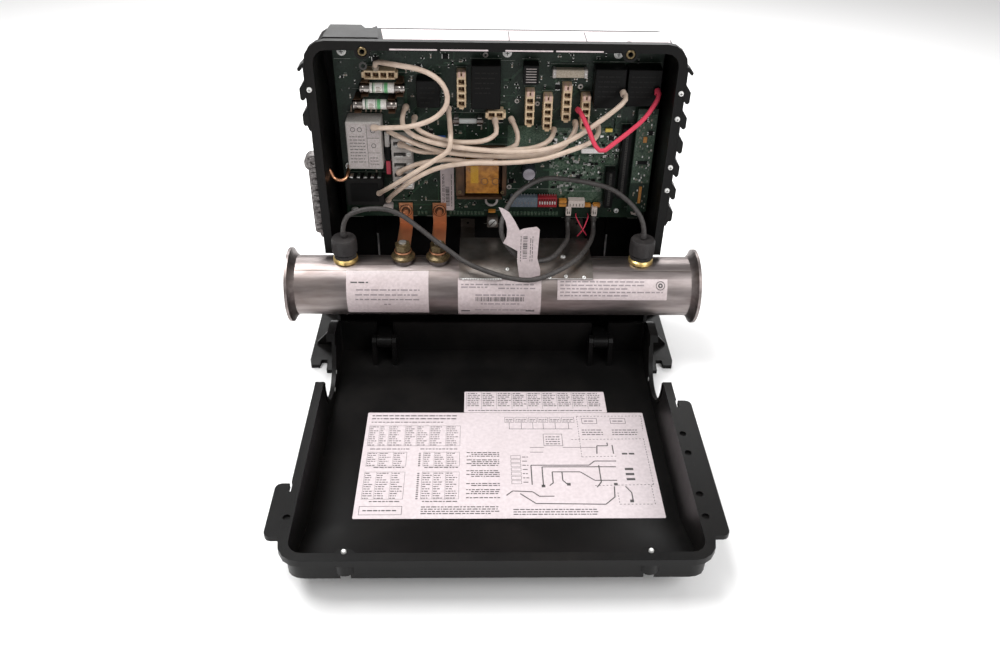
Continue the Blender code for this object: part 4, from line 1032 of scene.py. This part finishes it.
def transformer():
    stack = Piece('core_plates')
    for k in range(12):
        y = 21.2 + 1.9 * k
        plate = (y, y + 1.2)
        for side in ((-35.1, -34.7), (10.7, 11.1)):
            stack.add(slab(side, (166.8, 204.2), plate, 0.1, 1), 'laminate')
        stack.add(slab((-34.6, 10.6), (204.7, 205.15), plate, 0.1, 1), 'laminate')
    stack.add(slab((-34.2, 7.2), (163.4, 165.7), (18.6, 40), 0.3), 'laminate')
    for x in (-31.5, 7.5):
        for z in (170, 201):
            stack.add(washer((x, 20.1, z), OUT, 1.7, 0.7, 0.5, 16), 'bronze')
    stack.done('transformer_steel')

    coil = Piece('coil_tape')
    coil.add(prism(rounded(-25.8, 3.6, 172, 200, 1.2), 'y', 14, 38.7, 0.5), 'tape')
    coil.add(prism(rounded(-26.1, 3.9, 171.7, 173.4, 0.6), 'y', 14.6, 38, 0.2), 'amber')
    coil.add(prism(rounded(-21.5, -14.5, 182, 199, 1.2), 'y', 13.8, 14.2, 0.12), 'amber')
    for x in (-9, 1):
        coil.add(washer((x, 14.05, 184), OUT, 3.4, 2.8, 0.14), 'laminate')
    coil.done('yellow_tape', replaces=('transformer_coil',))


def capacitor():
    can = Piece('capacitor_can')
    sleeve = [(0, 0), (6.3, 0), (6.5, 0.6), (6.5, 1.6), (6.2, 2.2), (6.5, 2.8), (6.5, 14.6), (6.2, 15.3),
              (5.7, 15.4), (5.6, 15.2), (0, 15.2)]
    top = [(0, 0), (5.5, 0), (5.4, 0.5), (0, 0.5)]
    can.add(turned((32, SEAT, 183), OUT, sleeve, 32), 'sleeve_blue')
    can.add(turned((32, SEAT - 15.1, 183), OUT, top, 32), 'can_top')
    can.done('capacitor_sleeve', replaces=('capacitor',))


def socket_details():
    """Contacts in the cavities, latches and the ribs between the ways; the floors of the cells and the latch
    windows are dark blocks of painted shade.
    """
    made = Piece('socket_contacts')
    tabs = Piece('socket_latches')
    cells = []
    for a, b, c, d in COLUMNS:
        pitch = (d - LATCH - c) / 4
        cells += [((a + b) / 2, c + pitch * (k + 0.5)) for k in range(4)]
        for arm in ((a + 0.9, a + 3.3), (b - 3.3, b - 0.9)):
            tabs.add(slab(arm, (d - 4.4, d + 0.5), (32.9, 41), 0.35), 'pink_tab')
        # A dark block of painted shade in the latch window.
        tabs.add(slab((a + 3.0, b - 3.0), (d - 3.4, d - 0.8), (33.6, 41), 0.2), 'painted_cavity_shade')
        tabs.add(slab((a + 2, b - 2), (c - 1.0, c + 0.4), (32.8, 40), 0.3), 'nylon')
        for k in range(1, 4):
            z = c + pitch * k
            tabs.add(slab((a - 0.35, b + 0.35), (z - 0.5, z + 0.5), (35, SEAT), 0.15), 'nylon')
    for a, b, c, d, count in ROWS:
        pitch = (b - a) / count
        cells += [(a + pitch * (k + 0.5), (c + d) / 2) for k in range(count)]
        for end in ((a - 2.0, a), (b, b + 2.0)):
            tabs.add(slab(end, (c + 1.5, d - 1.5), (34, 42), 0.3), 'nylon')
    for x, z in cells:
        # A dark block of painted shade filling the back of each cell.
        made.add(slab((x - 2.5, x + 2.5), (z - 2.2, z + 2.2), (38.4, 41.95), 0.3), 'painted_cavity_shade')
        made.add(slab((x - 0.4, x + 0.4), (z - 1.1, z + 1.1), (37.4, 38.6), 0.1), 'bronze')
    made.done()
    tabs.done('cream_nylon')


def resistor_and_block():
    resistor = Piece('ceramic_resistor')
    resistor.add(slab((52, 77), (271.5, 278.5), (37, 44.4), 0.5), 'beige')
    for x in (49.4, 76.6):
        add_block(resistor, (x, x + 3), (271.2, 278.8), 36.6, 'clip_white', 0.5)
        add_block(resistor, (x + 1.1, x + 1.9), (274.4, 275.6), 36.2, 'tin', 0.1)
    resistor.done()

    block = Piece('grey_power_block')
    block.add(prism(rounded(-137.2, -102.5, 149, 176.3, 1.5), 'y', 33, SEAT, 0.5), 'dark_block')
    block.add(prism(rounded(-133, -107, 153, 172, 1.0), 'y', 32.7, 33.1, 0.15), 'relay')
    for k in range(5):
        x = -133 + 6.4 * k
        block.add(slab((x, x + 3), (176.2, 177.6), (34, 43), 0.2), 'tin')
    add_block(block, (-104.7, -95.5), (141.2, 146.4), 40, 'label_grey', 0.4)
    block.done()


def barcode_label():
    label = Piece('board_barcode')
    label.add(prism(rounded(-50, -37.5, 138, 186, 1.8), 'y', 44.9, BOARD_Y + 0.02), 'label_satin')
    for span in bars(143.0, 163, (0.3, 0.5, 0.9), (0.35, 0.6)):
        label.add(slab((-45.6, -41.8), span, LABEL_INK), 'ink')
    for x in (-48.4, -47.2, -40.2):
        add_words(label, (142, 176, 1.6), (x, x + 0.6), LABEL_INK, 'ink', True)
    label.done()


def switches():
    """The slate block, the legs of both blocks and the red block's levers."""
    dips = Piece('switch_marks')
    add_block(dips, (16, 41.5), (145.5, 155.5), 38, 'slate')
    for k in range(8):
        x = 18 + SWITCH_PITCH * k
        dips.add(slab((x - 0.4, x + 0.4), (148.5, 151), (37.9, 38.1)), 'bracket')
    legs = [17.5 + SWITCH_PITCH * k for k in range(8)] + [43.8 + LEVER_PITCH * k for k in range(LEVER_COUNT)]
    for x in legs:
        for z in (144.8, 155.4):
            add_block(dips, (x - 0.3, x + 0.3), (z, z + 0.7), 43, 'steel', 0)
    dips.done()
    for k in range(1, LEVER_COUNT + 1):
        low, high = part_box(f'dip_lever_{k}')
        middle = (low + high) / 2 / MM
        x, y, z = middle.x, middle.y - FRONT_Y, middle.z
        lever = Piece(f'switch_lever_{k}')
        lever.add(slab((x - 0.5, x + 0.5), (z - 1.2, z + 1.2), (y - 1.25, y + 1.25), 0.15), 'white')
        lever.add(slab((x - 0.42, x + 0.42), (z - 0.12, z + 0.12), (y - 1.28, y - 1.15)), 'slate')
        lever.done('switch_white', f'dip_lever_{k}', (f'dip_lever_{k}',))


def connectors():
    plugs = Piece('edge_connectors')
    add_block(plugs, (71, 86.6), (145.5, 152.5), 38, 'plug_white')
    for k in range(5):
        plugs.add(slab((72.4 + 3 * k, 73.2 + 3 * k), (146.6, 149.4), (37.9, 38.1)), 'bracket')
    for a, b, low, high in ((69.2, 74.2, 136.4, 145.4), (94.0, 99.0, 136.2, 145.2), (132.2, 136.4, 138, 146)):
        add_block(plugs, (a, b), (low, high), 38.2, 'plug_white')
        # Dark slots of painted shade in each plug face.
        for x in (a + 1.2, b - 2.0):
            plugs.add(slab((x, x + 0.8), (low + 2, high - 2), (38.0, 38.4)), 'painted_hollow_shade')
        plugs.add(slab((a + 1.5, b - 1.5), (high - 4, high - 1), (36.8, 38.6), 0.3), 'plug_white')
    add_block(plugs, (62.3, 69.6), (145, 151.6), 40, 'orange')
    plugs.add(slab((62.2, 69.7), (148, 148.7), (39.8, 40.2)), 'bronze')
    add_block(plugs, (87.2, 93), (144.2, 147), 41, 'orange')
    add_block(plugs, (95.2, 102), (144.2, 147.4), 41, 'orange')
    add_block(plugs, (80, 101), (199, 203.5), 42, 'white')
    plugs.done()


def long_connectors():
    slots = Piece('long_connectors')
    for a, b, c, d in ((116, 124, 156, 226), (104.5, 112.5, 146, 184.5)):
        add_block(slots, (a, b), (c, d), 36, 'relay', 0.5)
        # A dark plate of painted shade along the slot.
        slots.add(slab((a + 2.8, b - 2.8), (c + 2.5, d - 2.5), (35.9, 36.2)), 'painted_hollow_shade')
        for k in range(int((d - c - 6) / CONTACT_PITCH)):
            z = c + 3.5 + CONTACT_PITCH * k
            slots.add(slab((a + 3.4, b - 3.4), (z, z + 0.7), (35.6, 36.6)), 'dark_block')
    slots.done('relay_black')


def ground_lug():
    lug = Piece('ground_lug')
    add_block(lug, (-6, 4.6), (123.5, 134.2), 37, 'bracket', 0.6)
    head = [(0, 0), (3.9, 0), (3.9, 0.5), (3.4, 0.8), (0, 0.8)]
    lug.add(turned((-0.7, 37.1, 128.8), OUT, head, 20), 'steel')
    # A dark slit of painted shade across the screw head.
    lug.add(prism([(-3.6, 126.2), (-3.0, 125.7), (2.2, 131.4), (1.6, 131.9)], 'y', 36.1, 36.6), 'painted_hollow_shade')
    add_block(lug, (-5, 2), (137.4, 139.4), 41, 'orange', 0.4)
    lug.done('zinc')


def daughter_chips():
    chips = Piece('daughter_chips')
    for x, z in (((135.8, 138.4), (152.5, 169.5)), ((134.2, 137.6), (213.5, 219))):
        chips.add(slab(x, z, (33.9, 35.1), 0.2), 'orange')
    chips.add(slab((127.6, 144.4), (173, 240), (34.9, 35.2)), 'board_busy')
    for a, b, c, d in ((131, 140.5, 192, 195.5), (138, 142.5, 220.5, 225), (131, 136, 233, 238)):
        chips.add(slab((a, b), (c, d), (34.2, 35.1), 0.25), 'relay')
        for k in range(int((d - c) / 1.6)):
            z = c + 0.8 + 1.6 * k
            chips.add(slab((a - 0.9, b + 0.9), (z, z + 0.5), (34.3, 35.02)), 'tin')
    for k in range(60):
        x, z = RANDOM.uniform(128.5, 143.5), RANDOM.uniform(146, 243)
        tiny = slab((x - 0.5, x + 0.5), (z - 0.9, z + 0.9), (34.5, 35.05), 0.1, 1)
        chips.add(tiny, RANDOM.choice(('tin', 'sleeve', 'silk')))
    chips.done()


def coloured_parts():
    bits = Piece('coloured_parts')
    add_block(bits, (-53.5, -44.5), (210, 213.9), 41, 'blue')
    add_block(bits, (100.5, 107), (219.6, 222.6), 43, 'yellow')
    add_block(bits, (132, 137), (247.2, 249.2), 40, 'orange')
    for x, z, size in ((-8.7, 288.0, 2.4), (19.5, 247.2, 2.2), (75.1, 261.0, 2.4), (37.8, 244.9, 2.2),
                       (-41.5, 190.8, 2.6), (14.5, 163, 2.4)):
        bits.add(washer((x, BOARD_Y, z), OUT, size, size * 0.45, 1.1, 18), 'clip_white')
    bits.add(washer((-2.1, 42, 151), OUT, 6.4, 4.4, 1.6, 28), 'label_grey')
    add_screw(bits, (118.5, SEAT, 138.5), OUT, 2.4, 1.6)
    bits.done()


def board_leads():
    leads = Piece('link_leads')
    for k in range(7):
        x = -128 + 4.4 * k
        route = [(x, 45.9, 236.4), (x, 43.6, 236.8), (x + 0.5, 42.9, 238.6), (x + 0.6, 43.6, 241),
                 (x + 0.6, 45.9, 241.6)]
        leads.add(swept(route, 0.7, 8), 'wire')
    leads.done('cream_wire')

    thin = Piece('thin_leads')
    for top, foot, front in ((79.8, 90.2, 33), (91.2, 81.4, 31.6)):
        route = smooth_route([(top, 45.6, 134.6), (top, 41, 133.4), ((top + foot) / 2, front, 126),
                              (foot, front + 1, 117.6)], 1.5)
        thin.add(swept(route, 0.6, 8), 'red_wire')
    thin.done('red_wire')


# ---------------------------------------------------------------- heater
def heater_fastenings():
    ends = Piece('heater_fastenings')
    for x in TERMINALS:
        ends.add(washer((x, TUBE_Y, 124.5), UP, 7.4, 4.6, 0.35, 24), 'laminate')
        ends.add(washer((x, TUBE_Y, 131.0), UP, 5.8, 3.6, 0.7, 24), 'bronze')
        for y, outer, thick, look_name in ((44.1, 6.2, 0.7, 'laminate'), (43.8, 5.6, 0.7, 'copper'),
                                           (43.2, 4.2, 0.9, 'laminate')):
            ends.add(washer((x, y, LUG_Z), OUT, outer, 2.3, thick), look_name)
        bolt = [(0, -6), (2, -6), (2, 0), (3.1, 0), (3.1, 2.4), (2.7, 2.9), (0, 2.9)]
        ends.add(turned((x, 42.3, LUG_Z), OUT, bolt, 6), 'copper')
    for x in SENSORS:
        ends.add(washer((x, TUBE_Y, 112.6), UP, 11.4, 9.9, 5.0), 'brass')
        hexagon = [(9.4, 0), (10.3, 0), (11.0, 0.8), (11.0, 3.6), (9.4, 3.6)]
        ends.add(turned((x, TUBE_Y, 117.7), UP, hexagon, 6, True), 'nut_nylon')
        for k in range(12):
            turn = 2 * math.pi * k / 12
            rib = box((11.45, -0.55, 124), (11.75, 0.55, 133.5), 0.12, 1)
            bmesh.ops.rotate(rib, cent=(0, 0, 0), matrix=Matrix.Rotation(turn, 3, 'Z'), verts=rib.verts)
            bmesh.ops.translate(rib, vec=(x, TUBE_Y, 0), verts=rib.verts)
            ends.add(rib, 'nut_nylon')
    ends.done()


def bracket_and_seam():
    seam = Piece('weld_seam')
    seam.add(tube_patch((-182, 182), (60, 61.6), -0.1, 0.22, 3), 'bracket')
    seam.done('heater_steel')

    screws = Piece('bracket_screws_and_edge_highlight')
    add_screw(screws, (64.7, -4, 115.7), UP, 2.3, 1.5)
    for x, turn in ((12.4, 62), (66, 49), (51, 47), (82.7, 47)):
        out = off_tube(turn)
        add_screw(screws, Vector((x, TUBE_Y, TUBE_Z)) + out * (TUBE_R + 1.7), out, 1.7, 1.1)
    # A steel strip along the bracket's front edge: a painted highlight.
    screws.add(tube_patch((-31.5, 90.5), (44.4, 45.1), 0.55, 1.78, 6), 'steel')
    for k in range(16):
        x = -29 + 2.3 * k
        height = RANDOM.uniform(0.5, 1.6)
        screws.add(tube_patch((x, x + 1.5), (43.8 - height, 44.6), 0.55, 1.75, 3), 'zinc')
    screws.done()


def tube_labels():
    first = Piece('tube_label_left')
    first.add(tube_patch((-135, -60), (-33, 60), 0.02, 0.2), 'label_satin')
    add_tube_line(first, (-131, -115), 37, 'ink')
    for row, (low, high) in enumerate(((-126, -68), (-127, -70), (-127, -68))):
        add_tube_line(first, (low, high), 23 - 9.5 * row)
    add_tube_line(first, (-101, -95), -7)
    first.done()

    second = Piece('tube_label_middle')
    second.add(tube_patch((-33, 43.6), (-44, 46), 0.02, 0.2), 'label_satin')
    for low, high, turn in ((-30, 39, 34), (-30, -6, 29), (4, 38, 27), (-17, 30, 14), (-12, 26, -5),
                            (-17, 38, -22)):
        add_tube_line(second, (low, high), turn)
    for span in bars(-17.0, 28, (0.3, 0.5, 0.8), (0.3, 0.5, 0.9)):
        second.add(tube_patch(span, (1, 10), 0.1, 0.26, 4), 'ink')
    for x in (-30, 30):
        second.add(tube_patch((x, x + 8), (-27, -23), 0.1, 0.26, 3), 'ink')
    second.done()

    third = Piece('tube_label_right')
    third.add(tube_patch((58.5, 160), (4.7, 45.3), 0.02, 0.2), 'label_satin')
    for row, high in enumerate((139, 139, 123, 156, 125)):
        add_tube_line(third, (61, high), 40 - 6.6 * row)
    out = off_tube(33)
    axis = Vector((153.5, TUBE_Y, TUBE_Z))
    third.add(washer(axis + out * (TUBE_R - 0.1), out, 4.2, 3.6, 0.5, 32), 'ink')
    third.add(washer(axis + out * (TUBE_R + 0.05), out, 2.2, 0.9, 0.3, 24), 'ink')
    third.done()


def add_tube_line(piece, span, turn, tone='faded_ink'):
    """One line of made-up words along the tube."""
    for low, high in words(*span, 2.0):
        piece.add(tube_patch((low, high), (turn - 1.3, turn + 1.3), 0.1, 0.26, 1), tone)


def flag_tag():
    """A folded paper flag stuck round a probe lead."""
    tag = Piece('flag_tag')
    upper = [(3, 182), (6, 181.4), (12.4, 177), (17.3, 168.7), (21.8, 159.5), (20.5, 138.5), (7.5, 146.7),
             (10.4, 153), (10.8, 160.5), (9.1, 168.7), (5.1, 177)]
    lower = [(21.8, 159.5), (25.4, 161.4), (36.6, 163.2), (39.4, 160.5), (38.4, 131.2), (41.7, 119.3),
             (41.7, 113.3), (23.4, 107.6), (20.5, 127.5), (20.5, 138.5)]
    tag.add(prism(upper, 'y', -31.6, -31.3), 'label_satin')
    tag.add(prism(lower, 'y', -31.9, -31.5), 'label_satin')
    for k in range(14):
        z = 131 + 1.7 * k
        tag.add(slab((25.2, 29.0), (z, z + RANDOM.choice((0.6, 1.1))), FLAG_INK), 'ink')
    for x in (23.0, 31.6, 33.4):
        add_words(tag, (128, 154, 1.6), (x, x + 0.6), FLAG_INK, 'ink', True)
    tag.done()


# ---------------------------------------------------------------- lid prints
class Sheet:
    """A printed sheet on the lid floor; u and v run from its near left corner."""

    def __init__(self, name, corner, size, spread=1.0):
        self.piece = Piece(name)
        self.corner = corner
        self.spread = spread
        x, y = corner
        self.piece.add(prism(rounded(x, x + size[0], y, y + size[1], 1.2), 'z', LID_FLOOR, LID_FLOOR + 0.2),
                       'paper')

    def bar(self, low, high):
        x, y = self.corner
        self.piece.add(box((x + low[0] * self.spread, y + low[1], LID_FLOOR + 0.1),
                           (x + high[0] * self.spread, y + high[1], LID_FLOOR + 0.27)), 'ink')

    def line(self, u, v, size=1.0, word=1.3):
        """A line of made-up words."""
        for low, high in words(*u, word):
            self.bar((low, v), (high, v + size))

    def frame(self, u, v, thick=0.25):
        for at in v:
            self.bar((u[0], at), (u[1], at + thick))
        for at in u:
            self.bar((at, v[0]), (at + thick, v[1] + thick))

    def table(self, u, v, columns, rows):
        """A ruled table with a short word in each cell."""
        self.frame(u, v)
        edges = [u[0]] + list(columns) + [u[1]]
        for at in columns:
            self.bar((at, v[0]), (at + 0.2, v[1]))
        step = (v[1] - v[0]) / rows
        for row in range(rows):
            for low, high in zip(edges, edges[1:]):
                end = low + (high - low) * RANDOM.uniform(0.45, 0.9)
                self.line((low + 0.7, end), v[0] + step * (row + 0.3), step * 0.34, 1.0)

    def run(self, points, wide=1.0, dash=0.0):
        """A drawn conductor through the points, whole or dashed."""
        corner = Vector(self.corner)
        for start, end in zip(points, points[1:]):
            start, end = (Vector((u * self.spread, v)) for u, v in (start, end))
            reach = (end - start).length
            ahead = (end - start).normalized()
            across = ahead.orthogonal() * wide / 2
            spans = [(0.0, reach)]
            if dash:
                starts = [2 * dash * k for k in range(int(reach / dash / 2) + 1)]
                spans = [(at, min(at + dash, reach)) for at in starts if at < reach]
            for low, high in spans:
                a = corner + start + ahead * low
                b = corner + start + ahead * high
                outline = [a - across, b - across, b + across, a + across]
                self.piece.add(prism(outline, 'z', LID_FLOOR + 0.1, LID_FLOOR + 0.27), 'ink')


def sheet_tables(main):
    """Headings and ruled tables on the left of the large sheet."""
    for v in (123, 119):
        main.line((4, 79), v, 1.3, 1.6)
    main.line((4, 66), 114.5, 1.0)
    main.table((3, 81), (84, 110), (12, 20, 34, 44, 55, 69), 10)
    main.line((6, 40), 79.6)
    main.line((48, 79), 79.6)
    for low, high in ((59, 76), (21, 52)):
        rows = round((high - low) / 2.6)
        main.table((4.5, 37), (low, high), (14, 26), rows)
        main.table((51, 81), (low, high), (60, 70), rows)
        main.run([(48, low), (48, high)], 1.8, 1.2)
    for v in (57, 18):
        main.line((11, 36), v)
        main.line((52.5, 80), v)
    main.frame((4, 37), (4, 13), 0.4)
    main.line((7, 33), 8, 1.2)
    for row in range(4):
        main.line((52, 113 - 6 * (row == 3)), 12 - 2.4 * row)
    for top, lines in ((75, 3), (66, 4), (53, 4), (38, 2), (31, 3), (22, 1)):
        for row in range(lines):
            main.line((87 + 4 * (row % 2), 114), top - 2.2 * row)


DASHED = [
    [(183, 70), (183, 123), (240, 123.5), (239, 104)],
    [(183, 70), (212, 71)],
    [(176, 92), (238, 93), (238, 37), (189, 36)],
    [(208, 28), (208, 15), (236, 15), (236, 36)],
]
CONDUCTORS = [
    [(140, 37), (140, 60), (188, 60), (193, 65), (211, 65)],
    [(149, 36), (149, 58), (210, 58)],
    [(154, 36), (157, 39), (157, 52), (180, 52), (191, 42), (209, 42)],
    [(165, 52), (165, 42), (168, 38)],
    [(196, 60), (196, 40), (192, 34)],
    [(119, 25), (124, 30), (140, 29), (145, 24), (157, 24)],
    [(130, 27), (142, 16), (197, 15), (205, 23), (206, 35)],
    [(215, 35), (219, 28), (219, 19)],
    [(196, 74), (197, 84), (206, 84), (206, 88)],
    [(210, 85), (210, 74)],
]


def sheet_diagram(main):
    """The wiring diagram on the right of the large sheet."""
    edges = (119, 128, 140, 148, 158, 169, 181)
    for low, high in zip(edges, edges[1:]):
        main.frame((low + 0.6, high - 0.8), (114.5, 121.5), 0.3)
        main.line((low + 1.6, high - 1.6), 118.4, 0.8, 1.0)
        main.line((low + 1.6, high - 2.4), 116.2, 0.8, 1.0)
        main.run([((low + high) / 2, 114.5), ((low + high) / 2, 106)], 0.4)
    main.run([(123, 106), (178, 106)], 0.5)
    for points in DASHED:
        main.run(points, 0.5, 1.6)
    for points in CONDUCTORS:
        main.run(points, 1.0)
    for v in (42, 48, 54):
        main.bar((217, v), (224, v + 2.6))
    main.line((217, 230), 73, 2.0, 2.4)
    for u, v in ((216.5, 17), (206, 36), (168, 36), (147.5, 34)):
        main.bar((u, v), (u + 3, v + 3))
    main.frame((152, 168), (84, 99), 0.4)
    for row in range(4):
        main.line((154, 166), 95 - 3 * row)
    for low, high, v in ((140, 152, 82), (168, 196, 82), (140, 151, 76)):
        main.run([(low, v), (high, v)], 0.5)
    for row in range(7):
        main.frame((123.5, 131.5), (38 + 5 * row, 41.6 + 5 * row), 0.3)
        main.line((133, 138), 39.5 + 5 * row, 0.9)
    for low in (187, 212):
        main.frame((low, low + 13), (113, 120), 0.4)
        main.line((low + 2, low + 11), 116, 1.0)
    for row in range(3):
        main.line((186, 204), 104 - 3 * row)
        main.line((212, 234), 104 - 3 * row)
    for row in range(3):
        main.line((124, 190), 9 - 2.6 * row)


def wiring_sheets():
    main = Sheet('wiring_sheet', (-115, -223), (253, 128), 253 / 242)
    sheet_tables(main)
    sheet_diagram(main)
    main.piece.done(body='lid')

    second = Sheet('wiring_sheet_upper', (-27.1, -94.6), (132.4, 29.6))
    for k in range(9):
        low = 3 + 14.2 * k
        for row in range(8):
            second.line((low, low + RANDOM.uniform(8, 12.5)), 26.4 - 2.5 * row, 1.0)
        second.bar((low - 1.2, 5), (low - 0.95, 28))
    second.line((4, 128), 2.2)
    second.piece.done(body='lid')


def lid_details():
    screws = Piece('lid_side_screws')
    for x, y, z in ((-149, -55, 19), (-149, -71, 11), (149, -60, 15)):
        side = -1 if x > 0 else 1
        add_screw(screws, (x, y, z), (side, 0, 0), 2.2, 1.3)
    screws.done('zinc', 'lid')


camera()
wiring()
studio()
packed_nodes()
for build in (housing_screws, rim_fittings, top_wall, bonding_parts,
              board_tracks, busy_area, solder_joints, surface_parts,
              relays, power_relay, terminal_block, power_fuses, glass_fuse, transformer, capacitor,
              socket_details, resistor_and_block, barcode_label, switches,
              connectors, long_connectors, ground_lug, daughter_chips, coloured_parts, board_leads,
              heater_fastenings, bracket_and_seam, tube_labels, flag_tag, wiring_sheets, lid_details):
    build()

[[list(corner) for corner in box_now] for box_now in (CAD_BOX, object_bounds())]
